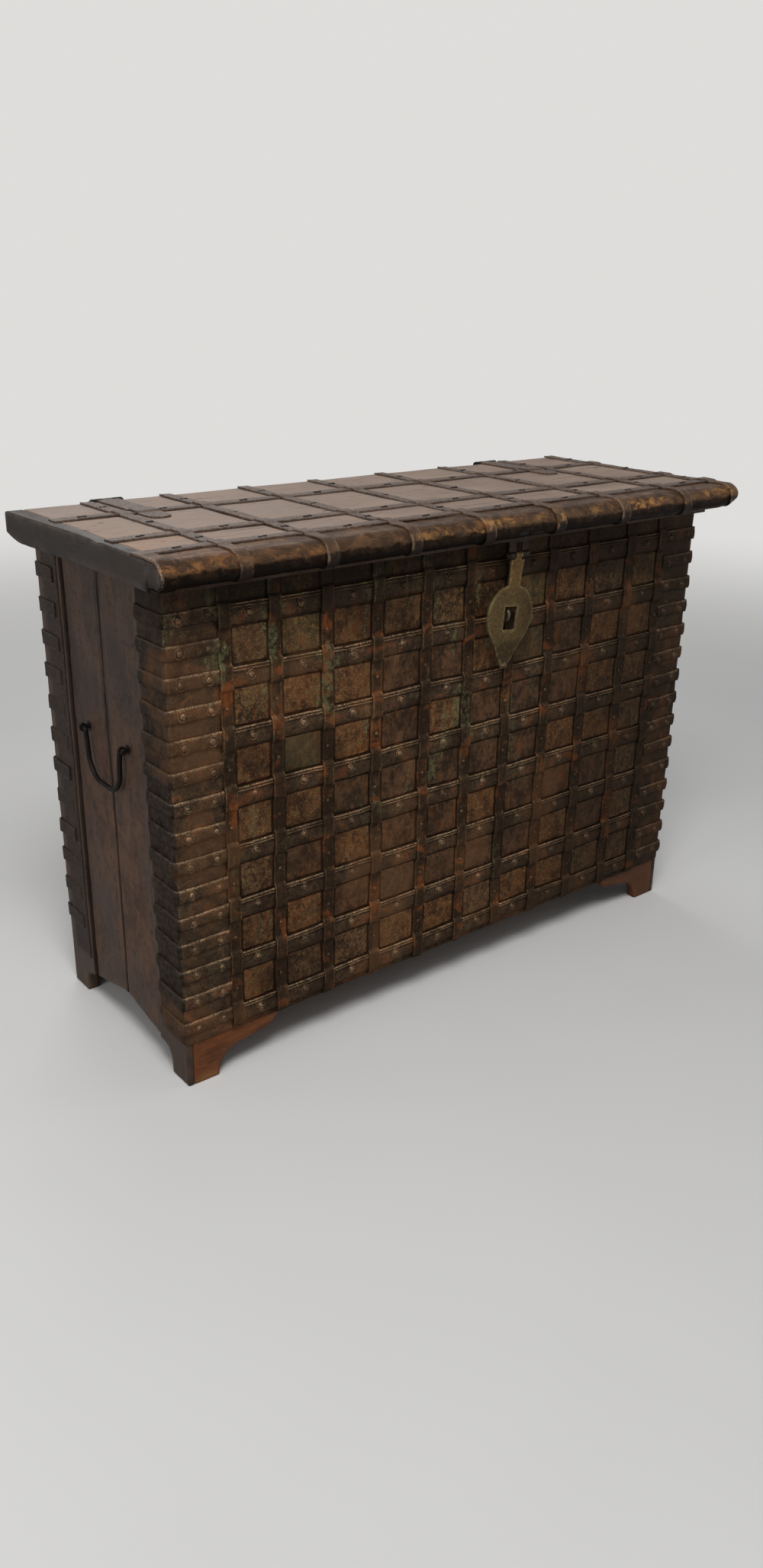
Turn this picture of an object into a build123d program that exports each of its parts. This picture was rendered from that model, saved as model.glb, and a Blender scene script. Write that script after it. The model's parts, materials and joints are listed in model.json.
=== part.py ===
from build123d import *
import os
from math import cos, radians, sin, sqrt

# Dowry chest. A plank carcase on bracket feet, its front clad in sheet metal under riveted straps,
# with a strapped lid that has a rounded front moulding, a hanging hasp and a bail at each end.
# +X runs along the chest, the front faces -Y and +Z is up. The origin is on the floor, under the
# middle of the whole chest. Lengths are in millimetres.

os.makedirs("parts", exist_ok=True)

# Carcase
body_length = 1180.0
body_depth = 430.0
body_height = 845.0
wall = 22.0
end_wall = 18.0
post_width = 92.0
corner_lap = 11.0
board_joint_share = 0.5
plank_joint_share = 0.49
plank_chamfer = 3.0
cut_overrun = 10.0

# Bracket feet: the opening under the front and back, and the one under each end
front_toe = 60.0
front_toe_rise = 3.0
front_cove = 46.0
front_brow = 168.0
front_brow_height = 60.0
front_crest = 182.0
front_arch_height = 82.0
end_toe = 54.0
end_toe_rise = 18.0
end_cove = 30.0
end_brow_share = 0.79
end_brow_height = 67.0
end_crest_share = 0.93
end_arch_height = 75.0

# Floor
floor_thickness = 18.0
bearer_height = 20.0
bearer_width = 40.0
bearer_rise = 4.0
bearer_count = 3
bearer_inset = 190.0

# Front cladding
sheet = 2.0
sheet_top_gap = 2.0
strap = 2.5
bead = 1.7
bead_gap = 5.0
bead_clearance = 0.1
panel_inset = 3.5
panel_corner = 6.0
panel_rise = 2.5
cross_first = 125.0
cross_last_gap = 34.1
cross_height = 33.0
cross_count = 8
upright_width = 22.0
upright_shares = (-0.417, -0.342, -0.259, -0.174, -0.086, -0.003, 0.079, 0.164, 0.250, 0.339, 0.417)
strap_ramp = 5.0

# Corner cladding
corner_sheet = 2.5
band = 2.2
band_height = 24.0
bands_per_cross = 2
corner_side_reach = 75.0
rear_metal = 1.5
rear_strap_width = 62.0
rear_strap_inset = 19.0
rear_band_reach = 65.0
rear_band_wrap = 60.0
rear_band_height = 25.0
rear_band_first = 140.0
rear_band_last_gap = 34.5
rear_band_count = 12

# Rivets, studs and nails
rivet_radius = 5.0
rivet_height = 3.0
washer_radius = 8.0
washer = 0.8
rivet_drop = 17.0
band_rivet_drop = 13.5
stud_radius = 3.2
stud_height = 1.8
nail_radius = 4.5
nail_height = 2.0
band_rivet_first = 22.0
band_rivet_inner = 16.94

# Lid
lid_overhang = 38.0
lid_thickness = 50.0
lid_plank = 22.0
nose_overhang = 73.0
nose_depth = 36.0
nose_height = 38.0
nose_top_radius = 24.0
nose_end_round = 18.0
sheath = 1.0
sheath_lap = 12.0
lid_back_gap = 1.5
end_board = 24.0
end_rail = 30.0
rail_front_inner = 24.0
rear_rail_depth = 30.0
left_end_rise = 5.0
right_end_rise = 16.0
end_tail = 50.0
end_tail_rise = 17.0
end_tail_share = 0.3
batten_width = 44.0
batten_height = 18.0
batten_place = 300.0
lid_strap = 2.5
long_strap_width = 26.0
front_joint_share = 0.31
rear_joint_share = 0.723
lid_cross_width = 22.0
lid_cross_shares = (-0.393, -0.273, -0.146, -0.022, 0.108, 0.239, 0.375)
edge_strap_width = 24.0
edge_strap_inset = 3.0
nose_strap_width = 26.0
long_strap_inset = 16.0
strap_wrap_end = 10.0

# Lid hinges
hinge_strap_gap = 10.0
leaf_width = 40.0
leaf_length = 198.0
leaf = 3.0
back_leaf_length = 150.0
knuckle_length = 56.0
knuckle_radius = 6.0
hinge_pin_radius = 3.0
running_clearance = 0.05
knuckle_side_gap = 0.3
hinge_back = 5.5
hinge_drop = 2.0
leaf_knuckle_gap = 1.0
pin_head_radius = 4.5
pin_head = 2.5
lid_knuckle_share = 0.36

# Hasp, its hinge and the staple
hasp_share = 0.0678
hasp_stand = 30.0
hasp_drop = 26.0
hasp_plate = 4.0
hasp_knuckle_radius = 6.0
hasp_pin_radius = 2.5
hasp_knuckle_length = 15.0
hasp_lean = 6.5
disc_radius = 54.0
neck_width = 26.0
neck_top_width = 30.0
neck_shoulder = 46.0
tail_reach = 94.0
tip_width = 13.0
tip_roll = 4.0
slot_width = 29.0
slot_height = 41.0
bracket = 3.0
bracket_width = 60.0
bracket_depth = 24.0
staple_wire = 3.0
staple_radius = 10.0
staple_rise = 2.5
staple_lift = 4.5
staple_bury = 17.0
hole_clearance = 0.1

# End bails and their eyes
bail_forward = 1.0
bail_height = 558.0
bail_wire = 4.2
bail_stand = 11.0
bail_drop = 82.0
bail_leg = 61.0
bail_foot = 51.0
bail_bend = 5.0
bail_sweep = 42.0
bail_pin_end = 75.0
bail_head_radius = 5.5
bail_head = 2.0
eye_place = 69.0
eye_radius = 7.0
eye_width = 5.0
eye_shank = 3.2
eye_bury = 15.0
eye_plate_radius = 8.0
eye_plate = 1.2
eye_clearance = 0.08

# Places worked out from the sizes above
front_reach = nose_overhang + sheath + lid_strap
rear_reach = hinge_back + knuckle_radius
y_front = (front_reach - rear_reach - body_depth) / 2
y_back = y_front + body_depth
half_length = body_length / 2
lid_length = body_length + 2 * lid_overhang
half_lid = lid_length / 2
lid_top = body_height + lid_thickness
lid_rear = y_back - lid_back_gap
nose_front = y_front - nose_overhang
nose_back = nose_front + nose_depth
nose_bottom = lid_top - nose_height
nose_low_radius = nose_height - nose_top_radius
nose_level = lid_top - nose_top_radius
hinge_y = y_back + hinge_back
hinge_z = lid_top - hinge_drop
hasp_y = y_front - hasp_stand
hasp_z = body_height - hasp_drop
bail_front = body_depth / 2 - bail_forward
uprights = [share * body_length for share in upright_shares]
sheet_top = body_height - sheet_top_gap
cross_pitch = (sheet_top - cross_last_gap - cross_first) / (cross_count - 1)
cross_tops = [cross_first + row * cross_pitch for row in range(cross_count)]
corner_edge = uprights[-1] + upright_width / 2
band_pitch = cross_pitch / bands_per_cross
band_tops = [cross_first + row * band_pitch for row in range(bands_per_cross * (cross_count - 1) + 1)]
rear_band_last = sheet_top - rear_band_last_gap - rear_band_height
rear_band_pitch = (rear_band_last - rear_band_first) / (rear_band_count - 1)
lid_crosses = [share * lid_length for share in lid_cross_shares]
front_joint = nose_back + front_joint_share * (lid_rear - nose_back)
rear_joint = nose_back + rear_joint_share * (lid_rear - nose_back)
plank_face = half_length - (wall - end_wall)
hinge_inset = lid_cross_width / 2 + hinge_strap_gap + leaf_width / 2
hinge_places = (lid_crosses[0] + hinge_inset, lid_crosses[-1] - hinge_inset)
hasp_place = hasp_share * body_length
staple_z = cross_tops[-2] + staple_rise
slot_drop = (hasp_z - (staple_z - staple_lift)) / cos(radians(hasp_lean))
disc_drop = slot_drop - staple_lift
hasp_length = disc_drop + tail_reach
staple_x = hasp_place - slot_drop * sin(radians(hasp_lean))


def block(x0, x1, y0, y1, z0, z1):
    corner = (Align.MIN, Align.MIN, Align.MIN)
    return Pos(x0, y0, z0) * Box(x1 - x0, y1 - y0, z1 - z0, align=corner)


def area(points):
    return make_face(Polyline(*points, close=True))


def extrude_x(face, x0, x1):
    plane = Plane(origin=(x0, 0, 0), x_dir=(0, 1, 0), z_dir=(1, 0, 0))
    return extrude(plane * face, amount=x1 - x0)


def extrude_y(face, y0, y1):
    plane = Plane(origin=(0, y1, 0), x_dir=(1, 0, 0), z_dir=(0, -1, 0))
    return extrude(plane * face, amount=y1 - y0)


def extrude_z(face, z0, z1):
    return extrude(Pos(0, 0, z0) * face, amount=z1 - z0)


def rod_x(radius, x0, x1, y, z):
    return extrude_x(Pos(y, z) * Circle(radius), x0, x1)


def rod_y(radius, y0, y1, x, z):
    return extrude_y(Pos(x, z) * Circle(radius), y0, y1)


def mirrored(shape):
    return mirror(shape, about=Plane.YZ)


def group(shapes):
    return Compound(children=list(shapes))


def dome(radius, height):
    ball = (radius ** 2 + height ** 2) / (2 * height)
    return Pos(0, 0, height - ball) * Sphere(ball) & block(-radius, radius, -radius, radius, 0, height)


def rivet():
    seat = Cylinder(washer_radius, washer, align=(Align.CENTER, Align.CENTER, Align.MIN))
    return seat + Pos(0, 0, washer) * dome(rivet_radius, rivet_height)


# Carcase


def arch_face(half, toe, rise, cove, brow, brow_height, crest, height):
    """The opening between two bracket feet, centred on zero."""
    knee = -half + toe + cove
    left = Line((-half + toe, -cut_overrun), (-half + toe, rise)) + RadiusArc(
        (-half + toe, rise), (knee, rise + cove), cove)
    side = left + Polyline((knee, rise + cove), (-half + brow, brow_height), (-half + crest, height))
    top = Line((-half + crest, height), (half - crest, height))
    base = Line((-half + toe, -cut_overrun), (half - toe, -cut_overrun))
    return make_face(side + top + mirror(side, about=Plane.YZ) + base)


def front_arch():
    face = arch_face(half_length, front_toe, front_toe_rise, front_cove, front_brow, front_brow_height,
                     front_crest, front_arch_height)
    return extrude_y(face, y_front - cut_overrun, y_back + cut_overrun)


def end_arch():
    half = body_depth / 2
    face = arch_face(half, end_toe, end_toe_rise, end_cove, end_brow_share * half, end_brow_height,
                     end_crest_share * half, end_arch_height)
    middle = y_front + half
    return extrude_x(Pos(middle, 0) * face, -half_length - cut_overrun, half_length + cut_overrun)


def long_boards(y0):
    """Upper and lower board of the front or the back, lapped over the posts."""
    half = half_length - corner_lap
    joint = body_height * board_joint_share
    upper = block(-half, half, y0, y0 + wall, joint, body_height)
    lower = block(-half, half, y0, y0 + wall, 0, joint) - front_arch()
    return upper, lower


def left_post(y0, y1, lap_y0):
    post = block(-half_length, wall - half_length, y0, y1, 0, body_height)
    lap = block(corner_lap - half_length, wall - half_length, lap_y0, lap_y0 + wall, 0, body_height)
    return post - lap - end_arch()


def left_plank(y0, y1):
    """An end plank with its two outer long edges bevelled."""
    inner = wall - half_length
    outline = [
        (inner, y0), (inner, y1), (-plank_face + plank_chamfer, y1), (-plank_face, y1 - plank_chamfer),
        (-plank_face, y0 + plank_chamfer), (-plank_face + plank_chamfer, y0),
    ]
    return extrude_z(area(outline), 0, body_height) - end_arch()


def end_planks():
    y0 = y_front + post_width
    y1 = y_back - post_width
    joint = y0 + (y1 - y0) * plank_joint_share
    front, rear = left_plank(y0, joint), left_plank(joint, y1)
    for place in (y_front + bail_front - eye_place, y_front + bail_front + eye_place):
        hole = rod_x(eye_shank + hole_clearance, -plank_face - cut_overrun, eye_bury - plank_face, place,
                     bail_height)
        front, rear = front - hole, rear - hole
    return front, rear


def floor_parts():
    x1 = half_length - wall
    y0, y1 = y_front + wall, y_back - wall
    z0 = front_arch_height + bearer_rise
    z1 = z0 + bearer_height
    middle = (y0 + y1) / 2
    planks = [block(-x1, x1, a, b, z1, z1 + floor_thickness) for a, b in ((y0, middle), (middle, y1))]
    run = 2 * (half_length - bearer_inset)
    places = [-run / 2 + run * i / (bearer_count - 1) for i in range(bearer_count)]
    bearers = [block(x - bearer_width / 2, x + bearer_width / 2, y0, y1, z0, z1) for x in places]
    return planks, bearers


# Front cladding


def staple_holes():
    """The two holes that the staple's legs pass through, in the sheet, the strap and the board."""
    radius = staple_wire + hole_clearance
    legs = [rod_y(radius, y_front - cut_overrun, y_front + staple_bury, staple_x, staple_z + side)
            for side in (-staple_radius, staple_radius)]
    return legs[0] + legs[1]


def front_sheet():
    base = block(-corner_edge, corner_edge, y_front - sheet, y_front, front_arch_height, sheet_top)
    cells = Sketch()
    rows = [(low, high - cross_height) for low, high in zip(cross_tops, cross_tops[1:])]
    for left, right in zip(uprights, uprights[1:]):
        width = right - left - upright_width - 2 * panel_inset
        for low, high in rows:
            cell = RectangleRounded(width, high - low - 2 * panel_inset, panel_corner)
            cells += Pos((left + right) / 2, (low + high) / 2) * cell
    face = y_front - sheet
    return base + extrude_y(cells, face - panel_rise, face) - staple_holes()


def front_cross_strap(top):
    """A level strap with two rolled beads along its upper edge."""
    face = y_front - sheet - strap
    section = area([(face, top - cross_height), (face + strap, top - cross_height), (face + strap, top),
                    (face, top)])
    for drop in (bead, bead + bead_gap):
        section += Pos(face, top - drop) * Circle(bead)
    section &= area([(face - bead, top - cross_height), (face + strap, top - cross_height),
                     (face + strap, top), (face - bead, top)])
    return extrude_x(section, -corner_edge, corner_edge) - staple_holes()


def front_upright(x):
    """An upright strap that steps over each level strap."""
    low = y_front - sheet
    high = low - strap - bead - bead_clearance
    path = [(low, front_arch_height)]
    for top in cross_tops:
        bottom = top - cross_height
        path += [(low, bottom - strap_ramp), (high, bottom), (high, top), (low, top + strap_ramp)]
    path.append((low, sheet_top))
    outer = [(y - strap, z) for y, z in reversed(path)]
    return extrude_x(area(path + outer), x - upright_width / 2, x + upright_width / 2)


# Corner cladding


def angle(depth0, depth1, edge, reach, z0, z1):
    """An L of metal round the front left corner, from depth0 to depth1 outside the wood."""
    face = area([
        (-half_length - depth1, y_front - depth1), (-edge, y_front - depth1), (-edge, y_front - depth0),
        (-half_length - depth0, y_front - depth0), (-half_length - depth0, y_front + reach),
        (-half_length - depth1, y_front + reach),
    ])
    return extrude_z(face, z0, z1)


def corner_bands():
    out = []
    for top in band_tops:
        strip = angle(corner_sheet, corner_sheet + band, corner_edge, corner_side_reach, top - band_height,
                      top)
        roll = rod_x(bead, -half_length - corner_sheet, -corner_edge, y_front - corner_sheet - band,
                     top - bead)
        out.append(strip + roll)
    return out


def rear_strips():
    """Upright strips on the left end and on the back, beside the rear left corner."""
    inset, width = rear_strap_inset, rear_strap_width
    end = block(-half_length - rear_metal, -half_length, y_back - inset - width, y_back - inset,
                front_arch_height, sheet_top)
    back = block(-half_length + inset, -half_length + inset + width, y_back, y_back + rear_metal,
                 front_arch_height, sheet_top)
    return [end, back]


def rear_bands():
    near, far = rear_metal, 2 * rear_metal
    start, wrap = y_back - rear_band_reach, rear_band_wrap - half_length
    face = area([
        (-half_length - near, start), (-half_length - near, y_back + near), (wrap, y_back + near),
        (wrap, y_back + far), (-half_length - far, y_back + far), (-half_length - far, start),
    ])
    lows = [rear_band_first + i * rear_band_pitch for i in range(rear_band_count)]
    return [extrude_z(face, low, low + rear_band_height) for low in lows]


# Rivets and studs on the front


def on_front(shape, x, depth, z):
    return Pos(x, y_front - depth, z) * Rot(90, 0, 0) * shape


def front_rivets():
    head = rivet()
    places = [((a + b) / 2, top) for a, b in zip(uprights, uprights[1:]) for top in cross_tops]
    return [on_front(head, x, sheet + strap, top - rivet_drop) for x, top in places]


def band_rivets():
    head = rivet()
    out = []
    for top in band_tops:
        for place in (half_length - band_rivet_first, corner_edge + band_rivet_inner):
            for side in (-1, 1):
                out.append(on_front(head, side * place, corner_sheet + band, top - band_rivet_drop))
    return out


def front_studs():
    head = dome(stud_radius, stud_height)
    rows = [(low + high - cross_height) / 2 for low, high in zip(cross_tops, cross_tops[1:])]
    return [on_front(head, x, sheet + strap, z) for x in uprights for z in rows]


# Staple, bails and eyes


def staple():
    """A loop of wire standing upright, with a leg above and a leg below. Its nose ends inside the plate."""
    turn = hasp_y + hasp_plate / 2 + staple_radius - hole_clearance
    high, low = staple_z + staple_radius, staple_z - staple_radius
    root = y_front + staple_bury
    bend = ThreePointArc((turn, high), (turn - staple_radius, staple_z), (turn, low))
    path = Line((root, high), (turn, high)) + bend + Line((turn, low), (root, low))
    plane = Plane(origin=(staple_x, 0, 0), x_dir=(0, 1, 0), z_dir=(1, 0, 0))
    start = Plane(origin=(staple_x, root, high), z_dir=(0, -1, 0))
    return sweep(start * Circle(staple_wire), path=plane * path)


def left_bail():
    """A hanging bail: its ends turn outwards through the eyes and are peened over."""
    x = -plank_face - bail_stand
    half = [(bail_pin_end, 0), (bail_leg, 0), (bail_foot, -bail_drop)]
    points = half + [(-y, z) for y, z in reversed(half)]
    path = FilletPolyline(*points, radius=[bail_bend, bail_sweep, bail_sweep, bail_bend])
    middle = y_front + bail_front
    plane = Plane(origin=(x, middle, bail_height), x_dir=(0, 1, 0), z_dir=(1, 0, 0))
    start = Plane(origin=(x, middle + bail_pin_end, bail_height), z_dir=(0, -1, 0))
    bail = sweep(start * Circle(bail_wire), path=plane * path)
    for side in (-1, 1):
        near, far = sorted((side * bail_pin_end, side * (bail_pin_end + bail_head)))
        bail += rod_y(bail_head_radius, middle + near, middle + far, x, bail_height)
    return bail


def left_eyes():
    """Two eyes driven into the end planks, each on a round plate."""
    x = -plank_face - bail_stand
    out = []
    for side in (-1, 1):
        y = y_front + bail_front + side * eye_place
        eye = rod_y(eye_radius, y - eye_width / 2, y + eye_width / 2, x, bail_height)
        shank = rod_x(eye_shank, x, eye_bury - plank_face, y, bail_height)
        plate = rod_x(eye_plate_radius, -plank_face - eye_plate, -plank_face, y, bail_height)
        bore = rod_y(bail_wire + eye_clearance, y - eye_radius, y + eye_radius, x, bail_height)
        clear = rod_x(eye_shank, x, x + bail_wire, y, bail_height)
        out.append(eye + (shank - clear) + plate - bore)
    return out


# Lid woodwork


def nose_area(grow, back, low_back):
    """The moulding's section as a face, square at the back."""
    top = lid_top + grow
    bottom = nose_bottom - grow
    front = nose_front - grow
    top_y = nose_front + nose_top_radius
    low_y = nose_front + nose_low_radius
    rounded = Pos(top_y, nose_level) * Circle(nose_top_radius + grow) & area(
        [(front, nose_level), (top_y, nose_level), (top_y, top), (front, top)])
    lower = Pos(low_y, nose_level) * Circle(nose_low_radius + grow) & area(
        [(front, bottom), (low_y, bottom), (low_y, nose_level), (front, nose_level)])
    upper_block = area([(top_y, nose_level), (back, nose_level), (back, top), (top_y, top)])
    lower_block = area([(low_y, bottom), (low_back, bottom), (low_back, nose_level), (low_y, nose_level)])
    return rounded + lower + upper_block + lower_block


def nose():
    moulding = extrude_x(nose_area(0, nose_back, nose_back), -half_lid, half_lid)
    low_end = moulding.edges().filter_by(Axis.Y).sort_by(Axis.Z)[:2].sort_by(Axis.X)[-1]
    return fillet(low_end, nose_end_round)


def nose_band(grow, thickness, back, low_back, x0, x1):
    """A strip of metal bent over the moulding."""
    outer = nose_area(grow + thickness, back, low_back)
    inner = nose_area(grow, back + cut_overrun, low_back + cut_overrun)
    return extrude_x(outer - inner, x0, x1)


def lid_planks():
    lines = [nose_back, front_joint, rear_joint, lid_rear]
    x1 = half_lid - end_board
    return [block(-x1, x1, a, b, lid_top - lid_plank, lid_top) for a, b in zip(lines, lines[1:])]


def lid_rails():
    x1 = half_lid - end_board
    x0 = x1 - end_rail
    z0, z1 = body_height, lid_top - lid_plank
    front = block(-x0, x0, nose_back, y_front + rail_front_inner, z0, z1)
    rear = block(-x0, x0, lid_rear - rear_rail_depth, lid_rear, z0, z1)
    left = block(-x1, -x0, y_front, lid_rear, z0, z1)
    right = block(x0, x1, y_front, lid_rear, z0, z1)
    return front, rear, left, right


def end_board_face(rise):
    """An end board seen from the side, its lower rear corner cut away in a sweep."""
    bottom = body_height + rise
    start = lid_rear - end_tail
    end = body_height + end_tail_rise
    middle = bottom + (end - bottom) * end_tail_share
    sweep_up = ThreePointArc((start, bottom), (lid_rear - end_tail / 2, middle), (lid_rear, end))
    sides = Polyline((lid_rear, end), (lid_rear, lid_top), (nose_back, lid_top), (nose_back, bottom),
                     (start, bottom))
    return make_face(sweep_up + sides)


def lid_battens():
    y0, y1 = y_front + rail_front_inner, lid_rear - rear_rail_depth
    z1 = lid_top - lid_plank
    return [block(x - batten_width / 2, x + batten_width / 2, y0, y1, z1 - batten_height, z1)
            for x in (-batten_place, batten_place)]


# Lid metalwork


def stepped(y_points, thickness, end):
    """A strip lying on the lid from the rear edge to `end`, stepping over each (near, far, height)."""
    low = [(lid_rear, lid_top)]
    for near, far, height in y_points:
        low += [(far + strap_ramp, low[-1][1]), (far, lid_top + height), (near, lid_top + height),
                (near - strap_ramp, lid_top + (sheath if near < y_front else 0))]
    low.append((end, low[-1][1]))
    high = [(y, z + thickness) for y, z in reversed(low)]
    return area(low + high)


def strap_steps():
    half = long_strap_width / 2
    joints = [(line - half, line + half, lid_strap) for line in (rear_joint, front_joint)]
    nose_joint = (y_front - sheath_lap, y_front + sheath_lap, sheath + lid_strap)
    return joints + [nose_joint]


def lid_cross_strap(x0, x1):
    """A strap from the lid's rear edge forwards, over the long straps and round the moulding."""
    flat = extrude_x(stepped(strap_steps(), lid_strap, nose_back), x0, x1)
    return flat + nose_band(sheath, lid_strap, nose_back, nose_back - strap_wrap_end, x0, x1)


def lid_long_straps():
    x1 = half_lid - long_strap_inset
    half = long_strap_width / 2
    return [block(-x1, x1, y - half, y + half, lid_top, lid_top + lid_strap)
            for y in (front_joint, rear_joint)]


def nose_sheath():
    return nose_band(0, sheath, y_front + sheath_lap, nose_back - strap_wrap_end, -half_lid, half_lid)


def nose_joint_strap():
    z0 = lid_top + sheath
    return block(-half_lid, half_lid, y_front - sheath_lap, y_front + sheath_lap, z0, z0 + lid_strap)


def nose_left_strap():
    """A strip over the moulding's left end, in front of the strap along the joint."""
    back = y_front - sheath_lap
    return nose_band(sheath, lid_strap, back, nose_back - strap_wrap_end, -half_lid,
                     -half_lid + nose_strap_width)


def lid_nails():
    head = dome(nail_radius, nail_height)
    z = lid_top + lid_strap
    spans = [lid_rear, rear_joint, front_joint, y_front]
    crosses = lid_crosses + [half_lid - edge_strap_inset - edge_strap_width / 2]
    edges = [-half_lid] + crosses
    places = [(x, (a + b) / 2, z) for x in crosses for a, b in zip(spans, spans[1:])]
    places += [((a + b) / 2, y, z) for a, b in zip(edges, edges[1:]) for y in (front_joint, rear_joint)]
    places += [((a + b) / 2, y_front, z + sheath) for a, b in zip(edges, edges[1:])]
    return [Pos(*place) * head for place in places if not under_leaf(place[0], place[1])]


def under_leaf(x, y):
    reach = leaf_width / 2 + nail_radius
    return y > lid_rear - leaf_length and any(abs(x - place) < reach for place in hinge_places)


# Hinges


def knuckle_spans():
    """Lid knuckle's half length, and where the back leaf's two knuckles start and end."""
    middle = knuckle_length * lid_knuckle_share / 2
    return middle, middle + knuckle_side_gap, knuckle_length / 2


def hinge_bore(x):
    reach = knuckle_length / 2 + cut_overrun
    return rod_x(hinge_pin_radius + running_clearance, x - reach, x + reach, hinge_y, hinge_z)


def rounded_tip(x, tip, root):
    """Outline, from above, of a leaf whose far end is a half round."""
    radius = leaf_width / 2
    body = area([(x - radius, tip + radius), (x + radius, tip + radius), (x + radius, root),
                 (x - radius, root)])
    return body + Pos(x, tip + radius) * Circle(radius)


def lid_leaf(x):
    middle = knuckle_spans()[0]
    half = leaf_width / 2
    tip = lid_rear - leaf_length
    steps = [(rear_joint - long_strap_width / 2, rear_joint + long_strap_width / 2, lid_strap)]
    strip = extrude_x(stepped(steps, leaf, tip), x - half, x + half)
    outline = extrude_z(rounded_tip(x, tip, lid_rear), lid_top - cut_overrun, lid_top + cut_overrun)
    tongue = block(x - middle, x + middle, lid_rear - leaf, hinge_y, lid_top, lid_top + leaf)
    knuckle = rod_x(knuckle_radius, x - middle, x + middle, hinge_y, hinge_z)
    return (strip & outline) + tongue + knuckle - hinge_bore(x)


def back_leaf(x):
    _, start, end = knuckle_spans()
    top = hinge_z - knuckle_radius - leaf_knuckle_gap
    bottom = body_height - back_leaf_length
    face = area([(x - end, bottom + end), (x + end, bottom + end), (x + end, top), (x - end, top)])
    face += Pos(x, bottom + end) * Circle(end)
    plate = extrude_y(face, y_back, y_back + leaf)
    for side in (-1, 1):
        a, b = sorted((x + side * start, x + side * end))
        plate += block(a, b, y_back, y_back + leaf, top, hinge_z)
        plate += rod_x(knuckle_radius, a, b, hinge_y, hinge_z)
    return plate - hinge_bore(x)


def hinge_pin(x):
    half = knuckle_length / 2
    pin = rod_x(hinge_pin_radius, x - half - pin_head, x + half + pin_head, hinge_y, hinge_z)
    for a, b in ((x - half - pin_head, x - half), (x + half, x + half + pin_head)):
        pin += rod_x(pin_head_radius, a, b, hinge_y, hinge_z)
    return pin


# Hasp


def hasp():
    """A round plate on a neck, with a tapered tail rolled at its tip and a slot for the staple."""
    half_neck = neck_width / 2
    low = -hasp_length + tip_roll
    clear = -hasp_knuckle_radius - leaf_knuckle_gap - neck_top_width / 2 * sin(radians(hasp_lean))
    neck = area([(-neck_top_width / 2, clear), (neck_top_width / 2, clear), (half_neck, -neck_shoulder),
                 (half_neck, -disc_drop), (-half_neck, -disc_drop), (-half_neck, -neck_shoulder)])
    reach = hasp_length - disc_drop
    side_x = disc_radius * sqrt(1 - (disc_radius / reach) ** 2)
    side_z = disc_radius ** 2 / reach
    tail = area([(-side_x, -disc_drop - side_z), (side_x, -disc_drop - side_z), (tip_width / 2, low),
                 (-tip_width / 2, low)])
    plate = neck + Pos(0, -disc_drop) * Circle(disc_radius) + tail
    plate -= Pos(0, -slot_drop) * Rectangle(slot_width, slot_height)
    face = Pos(hasp_place, hasp_z) * Rot(0, 0, -hasp_lean) * plate
    y0, y1 = hasp_y - hasp_plate / 2, hasp_y + hasp_plate / 2
    body = extrude_y(face, y0, y1)
    half = hasp_knuckle_length / 2 - knuckle_side_gap
    x0, x1 = hasp_place - half, hasp_place + half
    body += rod_x(hasp_knuckle_radius, x0, x1, hasp_y, hasp_z)
    body += block(x0, x1, y0, y1, hasp_z + clear - tip_roll, hasp_z)
    tip = (Pos(hasp_place, hasp_z) * Rot(0, 0, -hasp_lean) * Pos(0, low)).position
    body += rod_x(tip_roll, tip.X - tip_width / 2, tip.X + tip_width / 2, hasp_y, tip.Y)
    return body - hasp_bore()


def hasp_bore():
    reach = hasp_knuckle_length * 2
    radius = hasp_pin_radius + running_clearance
    return rod_x(radius, hasp_place - reach, hasp_place + reach, hasp_y, hasp_z)


def hasp_bracket():
    """A plate under the lid's front rail, with two lugs rolled round the pin."""
    plate = block(hasp_place - bracket_width / 2, hasp_place + bracket_width / 2, nose_back,
                  nose_back + bracket_depth, body_height - bracket, body_height)
    start = hasp_knuckle_length / 2
    end = start + hasp_knuckle_length
    for side in (-1, 1):
        a, b = sorted((hasp_place + side * start, hasp_place + side * end))
        plate += block(a, b, hasp_y - bracket / 2, hasp_y + bracket / 2, hasp_z, body_height - bracket)
        plate += rod_x(hasp_knuckle_radius, a, b, hasp_y, hasp_z)
    return plate - hasp_bore()


def hasp_pin():
    end = hasp_knuckle_length * 3 / 2
    pin = rod_x(hasp_pin_radius, hasp_place - end - pin_head, hasp_place + end + pin_head, hasp_y, hasp_z)
    for a, b in ((-end - pin_head, -end), (end, end + pin_head)):
        pin += rod_x(hasp_pin_radius + pin_head / 2, hasp_place + a, hasp_place + b, hasp_y, hasp_z)
    return pin


# Every node, by name

front_upper, front_lower = long_boards(y_front)
back_upper, back_lower = long_boards(y_back - wall)
front_post = left_post(y_front, y_front + post_width, y_front)
rear_post = left_post(y_back - post_width, y_back, y_back - wall)
front_plank, rear_plank = end_planks()
floor_planks, bearers = floor_parts()
corner = angle(0, corner_sheet, corner_edge, corner_side_reach, front_arch_height, sheet_top)
bands, strips, wraps = corner_bands(), rear_strips(), rear_bands()
eyes, bail = left_eyes(), left_bail()
planks = lid_planks()
front_rail, rear_rail, left_rail, right_rail = lid_rails()
outer = half_lid - end_board
edge_strap_end = half_lid - edge_strap_inset

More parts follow.
